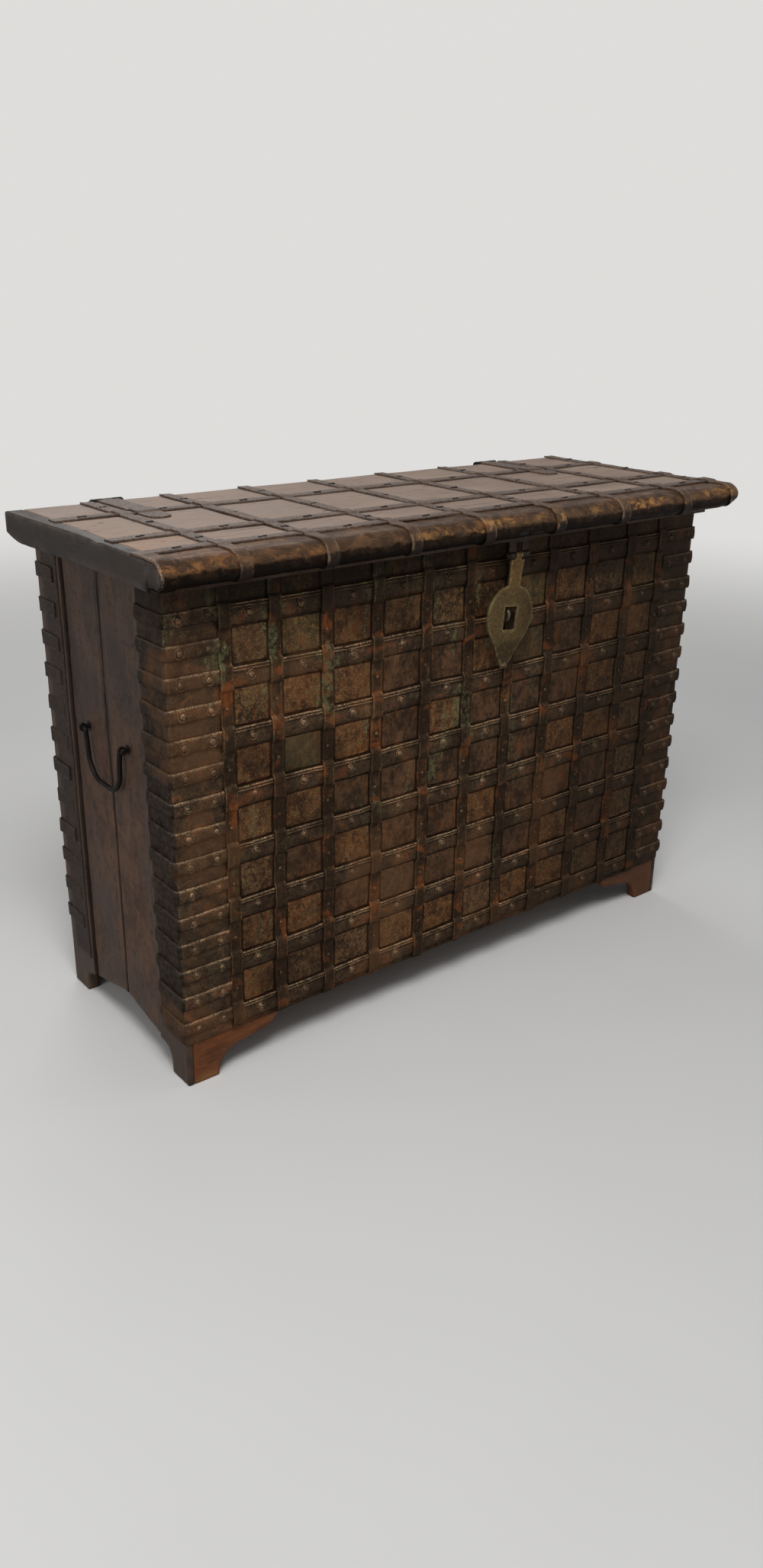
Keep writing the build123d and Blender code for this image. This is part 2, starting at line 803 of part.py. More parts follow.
nodes = {
    "front_board_upper": front_upper - staple_holes(),
    "front_board_lower": front_lower,
    "back_board_upper": back_upper,
    "back_board_lower": back_lower,
    "front_left_post": front_post,
    "front_right_post": mirrored(front_post),
    "rear_left_post": rear_post,
    "rear_right_post": mirrored(rear_post),
    "left_end_front_plank": front_plank,
    "left_end_rear_plank": rear_plank,
    "right_end_front_plank": mirrored(front_plank),
    "right_end_rear_plank": mirrored(rear_plank),
    "floor_front_plank": floor_planks[0],
    "floor_rear_plank": floor_planks[1],
    "floor_bearers": group(bearers),
    "front_sheet": front_sheet(),
    "front_upright_straps": group(front_upright(x) for x in uprights),
    "front_cross_straps": group(front_cross_strap(top) for top in cross_tops),
    "front_left_corner_sheet": corner,
    "front_right_corner_sheet": mirrored(corner),
    "front_left_corner_bands": group(bands),
    "front_right_corner_bands": group(mirrored(shape) for shape in bands),
    "rear_corner_strips": group(strips + [mirrored(shape) for shape in strips]),
    "rear_left_corner_bands": group(wraps),
    "rear_right_corner_bands": group(mirrored(shape) for shape in wraps),
    "front_strap_rivets": group(front_rivets()),
    "corner_band_rivets": group(band_rivets()),
    "front_studs": group(front_studs()),
    "hasp_staple": staple(),
    "left_bail_eyes": group(eyes),
    "right_bail_eyes": group(mirrored(shape) for shape in eyes),
    "left_hinge_back_leaf": back_leaf(hinge_places[0]),
    "right_hinge_back_leaf": back_leaf(hinge_places[1]),
    "hinge_pins": group(hinge_pin(x) for x in hinge_places),
    "lid_front_plank": planks[0],
    "lid_middle_plank": planks[1],
    "lid_rear_plank": planks[2],
    "lid_front_rail": front_rail,
    "lid_rear_rail": rear_rail,
    "lid_left_end_rail": left_rail,
    "lid_right_end_rail": right_rail,
    "lid_left_end_board": extrude_x(end_board_face(left_end_rise), -half_lid, -outer),
    "lid_right_end_board": extrude_x(end_board_face(right_end_rise), outer, half_lid),
    "lid_battens": group(lid_battens()),
    "lid_nose": nose(),
    "nose_sheath": nose_sheath(),
    "nose_joint_strap": nose_joint_strap(),
    "nose_left_end_strap": nose_left_strap(),
    "lid_cross_straps": group(
        lid_cross_strap(x - lid_cross_width / 2, x + lid_cross_width / 2) for x in lid_crosses),
    "lid_right_edge_strap": lid_cross_strap(edge_strap_end - edge_strap_width, edge_strap_end),
    "lid_long_straps": group(lid_long_straps()),
    "lid_nails": group(lid_nails()),
    "left_hinge_lid_leaf": lid_leaf(hinge_places[0]),
    "right_hinge_lid_leaf": lid_leaf(hinge_places[1]),
    "hasp_bracket": hasp_bracket(),
    "hasp_pin": hasp_pin(),
    "hasp_plate": hasp(),
    "left_bail": bail,
    "right_bail": mirrored(bail),
}

for name, shape in nodes.items():
    export_step(shape, f"parts/{name}.step")
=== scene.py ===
import itertools
import json
import math

import bmesh
import bpy
import numpy as np
from mathutils import Matrix, Vector
from mathutils.kdtree import KDTree

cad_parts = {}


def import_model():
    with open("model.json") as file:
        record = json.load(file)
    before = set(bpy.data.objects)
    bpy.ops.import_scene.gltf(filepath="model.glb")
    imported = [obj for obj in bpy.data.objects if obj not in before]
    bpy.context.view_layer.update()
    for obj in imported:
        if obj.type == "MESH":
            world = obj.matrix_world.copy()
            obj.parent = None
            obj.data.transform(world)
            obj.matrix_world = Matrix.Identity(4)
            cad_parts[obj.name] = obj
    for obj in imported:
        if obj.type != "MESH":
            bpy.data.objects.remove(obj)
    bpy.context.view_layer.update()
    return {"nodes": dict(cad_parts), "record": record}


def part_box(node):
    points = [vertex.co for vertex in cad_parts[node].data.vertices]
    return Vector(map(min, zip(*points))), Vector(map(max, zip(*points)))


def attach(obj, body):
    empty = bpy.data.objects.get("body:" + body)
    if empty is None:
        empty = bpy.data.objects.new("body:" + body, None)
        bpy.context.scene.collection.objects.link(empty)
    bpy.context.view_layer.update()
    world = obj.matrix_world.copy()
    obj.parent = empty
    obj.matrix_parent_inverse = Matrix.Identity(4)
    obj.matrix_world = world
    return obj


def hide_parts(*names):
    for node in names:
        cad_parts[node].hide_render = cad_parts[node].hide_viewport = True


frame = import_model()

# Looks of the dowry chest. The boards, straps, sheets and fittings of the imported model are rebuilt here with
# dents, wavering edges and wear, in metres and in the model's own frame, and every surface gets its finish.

MM = 0.001
X, Y, Z = np.eye(3)
body_of = {node: body for body, nodes in frame["record"]["behaviour"]["bodies"].items() for node in nodes}


# Reading places from the frame


def solids(node):
    """The (low, high) corners of each separate solid in a node."""
    mesh = frame["nodes"][node].data
    points = np.array([v.co for v in mesh.vertices])
    _, weld = np.unique(points.round(6), axis=0, return_inverse=True)
    weld = weld.reshape(-1)
    parent = list(range(weld.max() + 1))

    def root(i):
        while parent[i] != i:
            parent[i] = parent[parent[i]]
            i = parent[i]
        return i

    for edge in mesh.edges:
        parent[root(weld[edge.vertices[0]])] = root(weld[edge.vertices[1]])
    roots = np.array([root(i) for i in range(len(parent))])[weld]
    return [(points[roots == r].min(axis=0), points[roots == r].max(axis=0)) for r in np.unique(roots)]


def spans(node, axis):
    """Where the solids in a node start and stop along an axis, in order."""
    return sorted((a[axis], b[axis]) for a, b in solids(node))


def low(node):
    return np.array(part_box(node)[0])


def high(node):
    return np.array(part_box(node)[1])


wood_front = low("front_board_upper")[1]
wood_back = high("back_board_upper")[1]
half_length = high("front_right_post")[0]
sheet_low, sheet_high = low("front_sheet"), high("front_sheet")
uprights, levels = spans("front_upright_straps", 0), spans("front_cross_straps", 2)
crosses, longs = spans("lid_cross_straps", 0), spans("lid_long_straps", 1)
lid_low, lid_high = low("lid_nose"), high("lid_nose")
rail_front = low("lid_front_rail")[1]
sheet, strap, sheath = 2 * MM, 2.5 * MM, 1 * MM


# Smooth noise on points


def field(points, size, seed):
    """Smooth noise between -1 and 1 at each point, with lumps about `size` across. The large numbers only
    scatter the values at the corners of its cells."""
    place = points / size + 37.7
    cell = np.floor(place).astype(np.int64)
    part = place - cell
    ease = part * part * (3 - 2 * part)
    total = np.zeros(len(points))
    for corner in itertools.product((0, 1), repeat=3):
        spot = cell + corner
        mixed = spot[:, 0] * 73856093 ^ spot[:, 1] * 19349663 ^ spot[:, 2] * 83492791 ^ seed * 2654435761
        mixed = (mixed ^ (mixed >> 13)) * 1274126177 & 0xFFFFFFFF
        weight = np.prod(np.where(corner, ease, 1 - ease), axis=1)
        total += ((mixed >> 8 & 0xFFFF) / 32767.5 - 1) * weight
    return total


def shaken(points, *layers):
    """Points moved by noise in all three directions. Each layer is (size, amount, seed) in millimetres."""
    points = np.asarray(points, float)
    flat = points.reshape(-1, 3)
    moved = flat.copy()
    for size, amount, seed in layers:
        for axis in range(3):
            moved[:, axis] += amount * MM * field(flat, size * MM, seed + 101 * axis)
    return moved.reshape(points.shape)


def wavered(points, depth=1.0):
    """The shared waver of everything on the front. Depth 0 keeps a point's distance from the boards."""
    points = np.asarray(points, float)
    flat = points.reshape(-1, 3).copy()
    at = flat * [1, 0, 1]
    inside = np.clip((-sheet_low[0] - np.abs(flat[:, 0])) / (40 * MM), 0, 1)
    flat[:, 0] += 2.4 * MM * field(at, 140 * MM, 401) * inside
    flat[:, 2] += (2.0 * field(at, 150 * MM, 402) + 0.8 * field(at, 45 * MM, 404)) * MM
    flat[:, 1] -= depth * (0.7 + 0.8 * field(at, 110 * MM, 403)) * MM * inside
    return flat.reshape(points.shape)


# Meshes


def quads(rows, columns, closed=True):
    """Faces between rows of points, where each row is a closed ring or an open line."""
    return [[i * columns + j, i * columns + (j + 1) % columns,
             (i + 1) * columns + (j + 1) % columns, (i + 1) * columns + j]
            for i in range(rows - 1) for j in range(columns - (not closed))]


class Shape:
    """Collects the surfaces of one piece, then builds it."""

    def __init__(self):
        self.points, self.faces, self.marks, self.count = [], [], {}, 0

    def add(self, points, faces, **marks):
        points = np.asarray(points, float).reshape(-1, 3)
        self.points.append(points)
        self.faces += [[i + self.count for i in face] for face in faces]
        for name in {**self.marks, **marks}:
            column = self.marks.setdefault(name, [np.zeros(self.count)] if self.count else [])
            column.append(np.broadcast_to(np.ravel(marks.get(name, 0.0)), (len(points),)))
        self.count += len(points)

    def loft(self, rings, **marks):
        """A closed tube through rings of points, with both ends capped. Marks are spread over the rings."""
        n, k = rings.shape[:2]
        ends = [list(range(k))[::-1], [(n - 1) * k + j for j in range(k)]]
        self.add(rings, quads(n, k) + ends, **{name: np.broadcast_to(m, (n, k)) for name, m in marks.items()})

    def build(self, name, nodes, finish, crease=40.0):
        mesh = bpy.data.meshes.new(name)
        mesh.from_pydata(np.concatenate(self.points).tolist(), [], self.faces)
        for mark, columns in self.marks.items():
            put_mark(mesh, mark, np.concatenate(columns))
        settle(mesh, name, nodes, finish, crease)


def put_mark(mesh, name, values):
    mesh.attributes.new(name, "FLOAT", "POINT").data.foreach_set("value", np.asarray(values, np.float32))


def placed(name, data):
    made = bpy.data.objects.new(name, data)
    bpy.context.scene.collection.objects.link(made)
    return made


def settle(mesh, name, nodes, finish, crease):
    """Turns a mesh into a piece that stands for CAD nodes and rides on their body."""
    solid = bmesh.new()
    solid.from_mesh(mesh)
    bmesh.ops.recalc_face_normals(solid, faces=solid.faces)
    solid.to_mesh(mesh)
    solid.free()
    for polygon in mesh.polygons:
        polygon.use_smooth = True
    mesh.set_sharp_from_angle(angle=math.radians(crease))
    mesh.materials.append(finishes[finish])
    piece = placed(name, mesh)
    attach(piece, body_of[nodes[0]])
    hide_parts(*nodes)


def spaced(start, stop, step):
    """Evenly spaced values from start to stop, no further apart than step."""
    return np.linspace(start, stop, max(1, math.ceil(abs(stop - start) / step)) + 1)


def trace(corners, step, turns=6):
    """Even samples of a plane path of (u, v, radius) corners: points, normals and distances."""
    corners = [np.array(c, float) for c in corners]
    path, nearly_straight = [corners[0][:2]], 1.55
    for before, here, after in zip(corners, corners[1:], corners[2:]):
        a, b = before[:2] - here[:2], after[:2] - here[:2]
        a, b = a / np.linalg.norm(a), b / np.linalg.norm(b)
        half = math.acos(np.clip(a @ b, -1, 1)) / 2
        if here[2] == 0 or half > nearly_straight:
            path.append(here[:2])
            continue
        centre = here[:2] + (a + b) / np.linalg.norm(a + b) * here[2] / math.sin(half)
        start = here[:2] + a * here[2] / math.tan(half) - centre
        end = here[:2] + b * here[2] / math.tan(half) - centre
        sweep = math.atan2(start[0] * end[1] - start[1] * end[0], start @ end)
        for t in np.linspace(0, sweep, turns + 1):
            turn = np.array([[math.cos(t), -math.sin(t)], [math.sin(t), math.cos(t)]])
            path.append(centre + turn @ start)
    path = np.array(path + [corners[-1][:2]])
    run = np.concatenate([[0], np.cumsum(np.linalg.norm(np.diff(path, axis=0), axis=1))])
    even = spaced(0, run[-1], step)
    path = np.stack([np.interp(even, run, path[:, i]) for i in (0, 1)], axis=1)
    tangent = np.gradient(path, axis=0)
    tangent /= np.linalg.norm(tangent, axis=1)[:, None]
    return path, np.stack([-tangent[:, 1], tangent[:, 0]], axis=1), even


def swept(path, normals, outline, axes, side, place=0.0):
    """Rings of an (across, outwards) outline carried along a path in the plane of two axes, at a place
    along the third one, side."""
    outline = np.broadcast_to(outline, (len(path),) + np.shape(outline)[-2:])
    spine, out = path @ np.array(axes), np.broadcast_to(normals, path.shape) @ np.array(axes)
    return side * place + spine[:, None] + outline[..., :1] * side + outline[..., 1:] * out[:, None]


def section(width, thickness, step, sink, lip=0.0, lift=0.0):
    """A strap's outline as (across, outwards) pairs, with eased edges that a lip or a lift raises."""
    ease = min(thickness * 0.45, width * 0.2)
    half = width / 2
    middle = spaced(-half + ease, half - ease, step)
    top = thickness + lip * (np.abs(middle) / half) ** 6
    left = [(-half, -sink), (-half, thickness - ease), (-half + ease * 0.3, thickness - ease * 0.3)]
    right = [(half - ease * 0.3, thickness - ease * 0.3), (half, thickness - ease), (half, -sink)]
    outline = np.array(left + list(zip(middle, top)) + right)
    outline[:, 1] += lift * np.clip(-outline[:, 0] / half, 0, 1) ** 2
    return outline


def rubbed(outline):
    """Which of an outline's points lie near its two edges."""
    return np.abs(outline[:, 0]) > 0.8 * outline[:, 0].max()


def beaded(width, thickness, sink, ridge, beats):
    """Outlines, one for each beat, of a strap with a row of small beads along each edge."""
    half = width / 2
    across = np.array([-half, -half, -half + 0.5 * MM, -half + 1.6 * MM, -half + 3 * MM, -half * 0.4, 0])
    across = np.concatenate([across, -across[-2::-1]])
    out = np.full(len(across), thickness)
    out[[0, -1]] = -sink
    out[[1, -2]] -= 0.5 * MM
    lift = np.zeros(len(across))
    lift[[2, -3]], lift[[3, -4]] = 0.6, 1.0
    rows = out + ridge * lift * beats[:, None]
    return np.stack([np.broadcast_to(across, rows.shape), rows], axis=-1), lift


def worn(node, finish, pitch=14.0, edge=1.4, layers=((90, 0.7, 301), (18, 0.35, 302)), crease=40.0, rub=5.0,
         shape=None):
    """A copy of a CAD node with eased edges and an uneven surface. Lengths are in millimetres."""
    solid = bmesh.new()
    solid.from_mesh(frame["nodes"][node].data)
    bmesh.ops.remove_doubles(solid, verts=solid.verts, dist=1e-6)
    bmesh.ops.dissolve_limit(solid, angle_limit=math.radians(1), verts=solid.verts, edges=solid.edges)
    sharp = [e for e in solid.edges if len(e.link_faces) == 2 and e.calc_face_angle() > math.radians(35)]
    rims = np.array([a + (b - a) * t for a, b in ((e.verts[0].co, e.verts[1].co) for e in sharp)
                     for t in spaced(0, 1, 3 * MM / max((a - b).length, 1e-6))])
    if edge:
        bmesh.ops.bevel(solid, geom=sharp, offset=edge * MM, segments=2, affect="EDGES", clamp_overlap=True)
    corners = np.array([v.co for v in solid.verts])
    for axis in range(3):
        first, last = corners[:, axis].min(), corners[:, axis].max()
        cuts = spaced(first, last, pitch * MM)[1:-1].tolist()
        cuts += [first + rub * MM, last - rub * MM] if last - first > 3 * rub * MM else []
        for value in cuts:
            point, normal = [0, 0, 0], [0, 0, 0]
            point[axis], normal[axis] = value, 1
            bmesh.ops.bisect_plane(solid, geom=solid.verts[:] + solid.edges[:] + solid.faces[:],
                                   plane_co=point, plane_no=normal, dist=1e-6)
    places = np.array([v.co for v in solid.verts])
    tree = KDTree(len(rims))
    for i, rim in enumerate(rims):
        tree.insert(rim, i)
    tree.balance()
    closeness = np.array([math.exp(-tree.find(place)[2] / (rub * MM)) for place in places])
    moved = shaken(places, *layers)
    if shape:
        moved = shape(moved)
    moved[:, 2] = moved[:, 2].clip(0)
    for vertex, place in zip(solid.verts, moved):
        vertex.co = place
    mesh = bpy.data.meshes.new(node + "_worn")
    solid.to_mesh(mesh)
    solid.free()
    put_mark(mesh, "rub", closeness)
    settle(mesh, node + "_worn", [node], finish, crease)


# Finishes. The dull tint keeps reflections of the pale backdrop from whitening old wood and metal.

dull_tint = (0.52, 0.47, 0.45, 1)
backdrop = (222, 221, 219)


def tone(red, green, blue):
    """An 8-bit screen colour as the linear colour that a shader takes."""
    def linear(value):
        value /= 255
        return value / 12.92 if value <= 0.04045 else ((value + 0.055) / 1.055) ** 2.4
    return (linear(red), linear(green), linear(blue), 1.0)


def put(tree, socket, value):
    """Links an output to a socket, or sets the socket's value. A tuple is an 8-bit screen colour."""
    if isinstance(value, bpy.types.NodeSocket):
        tree.links.new(value, socket)
    else:
        socket.default_value = tone(*value) if isinstance(value, tuple) else value


def add_node(tree, kind, output, inputs, **settings):
    """Adds a node, fills its inputs by name or number, and gives one of its outputs."""
    made = tree.nodes.new("ShaderNode" + kind)
    for key, value in settings.items():
        setattr(made, key, value)
    for key, value in inputs.items():
        put(tree, made.inputs[key], value)
    return made.outputs[output]


class Finish:
    """A material made node by node on the object's own coordinates. Lengths are in millimetres. A colour is
    an output or a tuple of 8-bit values, and only the tint is a linear one."""

    def __init__(self, name, roughness, specular, metallic=0.0, tint=dull_tint):
        self.material = bpy.data.materials.new(name)
        self.material.use_nodes = True
        self.tree = self.material.node_tree
        self.shader = self.tree.nodes["Principled BSDF"]
        self.place = self.node("TexCoord", "Object", {})
        self.colour = self.relief = None
        plain = {"Metallic": metallic, "Roughness": roughness, "Specular IOR Level": specular,
                 "Specular Tint": tint}
        for key, value in plain.items():
            self.shader.inputs[key].default_value = value

    def node(self, kind, output, inputs, **settings):
        return add_node(self.tree, kind, output, inputs, **settings)

    def stretched(self, size, stretch):
        scale = [s / (size * MM) for s in stretch]
        return self.node("Mapping", "Vector", {"Vector": self.place, "Scale": scale})

    def noise(self, size, stretch=(1, 1, 1), detail=4.0, rough=0.6, warp=0.0):
        inputs = {"Vector": self.stretched(size, stretch), "Scale": 1.0, "Detail": detail, "Roughness": rough,
                  "Distortion": warp}
        return self.node("TexNoise", "Fac", inputs)

    def spots(self, size, stretch=(1, 1, 1)):
        """Distance to the nearest of scattered points, in units of their spacing."""
        return self.node("TexVoronoi", "Distance", {"Vector": self.stretched(size, stretch), "Scale": 1.0})

    def curve(self, value, start, stop, first=0.0, last=1.0):
        """Goes smoothly from first to last as value goes from start to stop."""
        inputs = dict(enumerate((value, start, stop, first, last)))
        return self.node("MapRange", "Result", inputs, interpolation_type="SMOOTHSTEP")

    def fade(self, letter, start, stop, first=0.0, last=1.0, origin=0.0):
        """A curve over a coordinate, from start to stop millimetres away from an origin."""
        return self.curve(self.axis(letter), origin + start * MM, origin + stop * MM, first, last)

    def math(self, operation, a, b=0.0):
        return self.node("Math", "Value", {0: a, 1: b}, operation=operation)

    def product(self, *values):
        total = values[0]
        for value in values[1:]:
            total = self.math("MULTIPLY", total, value)
        return total

    def mix(self, factor, a, b):
        return self.node("Mix", 2, {0: factor, 6: a, 7: b}, data_type="RGBA")

    def over(self, shade, *shares):
        """Lays a shade over the colour so far, as thick as the product of its shares."""
        self.colour = self.mix(self.product(*shares), self.colour, shade)

    def mark(self, name):
        return self.node("Attribute", "Fac", {}, attribute_name=name)

    def axis(self, letter):
        return self.node("SeparateXYZ", letter, {"Vector": self.place})

    def swing(self, noise, reach):
        """Noise turned into a distance to either side, with reach from end to end."""
        return self.product(self.math("SUBTRACT", noise, 0.5), reach * MM)

    def near(self, letter, values, reach):
        """1 on each of the wavering planes letter = value, falling to 0 at reach."""
        place = self.math("ADD", self.axis(letter), self.swing(self.noise(30), 4))
        total = None
        for value in values:
            away = self.math("ABSOLUTE", self.math("SUBTRACT", place, value))
            closeness = self.curve(away, reach * MM, 0.0)
            total = closeness if total is None else self.math("MAXIMUM", total, closeness)
        return total

    def raised(self, height, depth, strength=1.0):
        """Adds relief: height 0 to 1 stands for `depth` millimetres."""
        inputs = {"Height": height, "Strength": strength, "Distance": depth * MM}
        if self.relief is not None:
            inputs["Normal"] = self.relief
        self.relief = self.node("Bump", "Normal", inputs)

    def done(self, roughness=None):
        made = {"Base Color": self.colour, "Roughness": roughness, "Normal": self.relief}
        for key, value in made.items():
            if value is not None:
                put(self.tree, self.shader.inputs[key], value)
        return self.material


def timber(name, axis, base, dark, pale, roughness=0.5, dust=0.5, specked=False, cracks=0.5, edges=0.4,
           joint_and_shadow_lines=(), stain_and_shade=None, top=None):
    """Old planks: grain along an axis, pores, scuffs, open cracks, worn edges, and dark lines at plank joints
    and, on the lid, as painted shadow along the straps. Where a top is given, what lies lower is plain wood
    without these lines."""
    f = Finish(name, roughness, 0.12)

    def along(times):
        return [1 / times if i == axis else 1 for i in range(3)]
    fine = f.noise(1.8, along(18), detail=6, rough=0.7)
    broad = f.noise(16, along(9), warp=0.8)
    patch = f.noise(110, along(2), detail=5, rough=0.62)
    split = f.noise(6, along(30), detail=2, rough=0.5)
    grime = f.noise(32, along(1.6), detail=7, rough=0.75)
    f.colour = dark
    f.over(base, f.curve(fine, 0.32, 0.68))
    f.over(f.mix(0.6, dark, base), f.curve(broad, 0.35, 0.7, 0.0, 0.55))
    f.over(pale, f.curve(patch, 0.4, 0.66, 0.0, dust))
    f.over(dark, f.curve(grime, 0.55, 0.7, 0.0, 0.6))
    shown = f.fade("Z", -3, -1, origin=top) if top else 1.0
    if stain_and_shade:
        stain_and_shade(f, patch, grime)
    if top:
        f.colour = f.mix(shown, f.mix(0.55, f.colour, (104, 82, 62)), f.colour)
    opened = f.curve(split, 0.33, 0.27)
    f.over((26, 20, 17), opened, cracks)
    f.over(pale, f.mark("rub"), f.curve(grime, 0.4, 0.58), edges)
    if specked:
        f.over((158, 142, 126), f.curve(f.spots(6), 0.13, 0.05), f.curve(f.noise(14, detail=2), 0.5, 0.58))
        f.over(dark, f.curve(f.noise(14, detail=8, rough=0.8), 0.5, 0.62), 0.5)
    # Dark lines: plank joints, and on the lid painted shadow along the straps' edges.
    for letter, places, reach in joint_and_shadow_lines:
        line = f.product(f.near(letter, places, reach), shown)
        f.over((24, 19, 17), line, 0.85)
        f.raised(line, -1.0, 0.6)
    f.raised(fine, 0.35)
    f.raised(broad, 0.9, 0.5)
    f.raised(opened, -0.7, cracks)
    return f.done(f.curve(patch, 0.35, 0.7, roughness - 0.08, roughness + 0.18))


def dusty_orange(f, patch, grime):
    """The lid's front left, where the dust is worn off, and dark chips all over."""
    f.over((144, 106, 80), f.fade("X", -400, -560), f.fade("Y", -20, -140), f.curve(grime, 0.38, 0.52), 0.42)
    f.over((48, 36, 30), f.curve(f.spots(34, (0.45, 1, 1)), 0.12, 0.07), f.curve(grime, 0.44, 0.5), 0.8)


def shaded_nose(f, patch, grime):
    """The moulding's own wood, made nearly black underneath by painted shade."""
    f.over((13, 10, 8), f.fade("Y", 19.5, 4.5, origin=lid_high[1]),
           f.fade("Z", -23, -39, 0.0, 0.9, lid_high[2]))


def warmed_end(f, patch, grime):
    """The end planks, warmer from the middle down, with a broad dark groove between them above."""
    f.over(f.mix(f.curve(grime, 0.4, 0.6), (88, 64, 48), (62, 45, 36)), f.fade("Z", 700, 400, 0.0, 0.75),
           f.curve(patch, 0.3, 0.6, 0.35, 1.0))
    groove = f.product(f.curve(f.near("Y", [plank_joint], 16), 0.15, 0.4), f.fade("Z", 400, 600))
    f.raised(groove, -1.2, 0.8)
    f.over((32, 25, 22), groove, 0.7)


def worn_and_shaded_foot(f, patch, grime):
    """Orange where feet scuff it, darker towards the right as painted shade, plain wood higher up."""
    f.over((70, 46, 30), f.curve(grime, 0.46, 0.6, 0.0, 0.6))
    f.over((126, 92, 56), f.curve(patch, 0.5, 0.62, 0.0, 0.5))
    # Painted shade: darker towards the right.
    f.over((72, 46, 32), f.fade("X", 100, 400, 0.0, 0.8))
    f.over(f.mix(patch, (84, 64, 47), (124, 99, 74)), f.fade("Z", 130, 170))


def old_iron(name, base, rust, pale, rusting, roughness, metallic, tail=None):
    """Dark iron with rust, soot in the hollows and rubbed high spots."""
    f = Finish(name, roughness, 0.15, metallic)
    broad = f.noise(45, detail=6, rough=0.7, warp=0.6)
    fine = f.noise(4, detail=7, rough=0.75)
    f.colour = f.mix(0.55, base, (16, 13, 12))
    f.over(base, f.curve(fine, 0.3, 0.7))
    f.over(rust, f.curve(broad, 0.48, 0.68, 0.0, rusting))
    f.over(pale, f.curve(fine, 0.6, 0.75, 0.0, 0.5))
    f.over(pale, f.mark("rub"), f.curve(fine, 0.45, 0.62), 0.6)
    if tail:
        tail(f)
    f.raised(fine, 0.55, 0.8)
    f.raised(f.noise(1.5, detail=3), 0.25, 0.6)
    return f.done(f.curve(fine, 0.3, 0.75, roughness + 0.15, roughness - 0.12))


def nose_tones(f):
    """The moulding's colours by height: dusty brown on top, flaking gold at the shoulder, black below."""
    broad = f.noise(70, (0.6, 1, 1), detail=5, rough=0.7, warp=1.0)
    flake = f.noise(24, (0.7, 1, 1), detail=9, rough=0.74, warp=0.6)
    chip = f.noise(13, (0.8, 1, 1), detail=7, rough=0.72, warp=0.5)
    fine = f.noise(2.5, detail=6, rough=0.7)
    drop = f.math("ADD", f.math("SUBTRACT", lid_high[2] + sheath, f.axis("Z")), f.swing(flake, 26))

    def below(start, stop, *ends):
        return f.curve(drop, start * MM, stop * MM, *ends)
    f.colour = (56, 42, 32)
    f.over((82, 61, 44), f.curve(flake, 0.38, 0.62))
    f.over((122, 80, 46), f.curve(broad, 0.46, 0.62), f.curve(flake, 0.42, 0.55), below(0, 8, 0.5, 1.0), 0.65)
    f.over((160, 118, 68), below(1, 8), below(24, 18), f.curve(broad, 0.42, 0.58, 0.15, 0.85),
           f.curve(chip, 0.47, 0.58), f.fade("X", -500, 100, 0.2, 0.95))
    f.over((54, 39, 28), f.curve(chip, 0.45, 0.34), 0.55)
    f.over((28, 20, 14), f.curve(fine, 0.43, 0.32), 0.6)
    under = f.mix(below(24, 34), f.mix(f.curve(chip, 0.42, 0.6), (15, 11, 8), (40, 28, 19)), (7, 5, 4))
    f.over(under, below(15, 21, 0.0, 0.97))
    return flake, fine


def round_nose(f):
    """Where lid straps go round the moulding they take its colours, and in places their edges get a painted
    glint.
    """
    iron = f.colour
    nose_tones(f)
    f.colour = f.mix(f.fade("Y", 15.5, 3.5, 0.0, 0.88, lid_high[1]), iron, f.colour)
    # A painted glint on the strap edges at the moulding's shoulder.
    f.over((124, 104, 84), f.mark("rub"), f.fade("Y", -5.5, -20.5, origin=lid_high[1]),
           f.fade("Z", -33, -25, origin=lid_high[2]), f.curve(f.noise(22), 0.47, 0.56), 0.6)


def bloomed(f, mottle, amount):
    """Green blooms that run down the front's upper left and middle."""
    spread = f.curve(f.noise(48, (1, 1, 0.32), detail=6, rough=0.65), 0.55, 0.61)
    f.over((110, 116, 82), spread, f.curve(mottle, 0.42, 0.56), f.fade("X", 220, -50, 0.25, 1.0),
           f.fade("Z", 320, 580, 0.25, 1.0), amount)


def drift_and_painted_shade(f):
    """Slow changes of tone over sheet and straps alike, with painted shade just under the lid and to the
    right.
    """
    wide = f.noise(120, (1, 1, 0.7), warp=0.4)
    f.over((114, 80, 53), f.curve(wide, 0.5, 0.66, 0.0, 0.4))
    f.over((42, 31, 24), f.curve(wide, 0.48, 0.34, 0.0, 0.5))
    # Painted shade: darker just under the lid and towards the right.
    cloud = f.swing(f.noise(60), 60)
    right = f.math("MAXIMUM", f.axis("X"), 0.0)
    level = f.math("ADD", f.math("ADD", f.axis("Z"), cloud), f.product(right, 0.2))
    top = f.curve(level, sheet_high[2] - 81 * MM, sheet_high[2] - 8 * MM, 0.0, 0.75)
    side = f.curve(f.math("ADD", right, cloud), 20 * MM, 420 * MM, 0.0, 0.56)
    f.over((28, 24, 20), f.math("MAXIMUM", top, side))


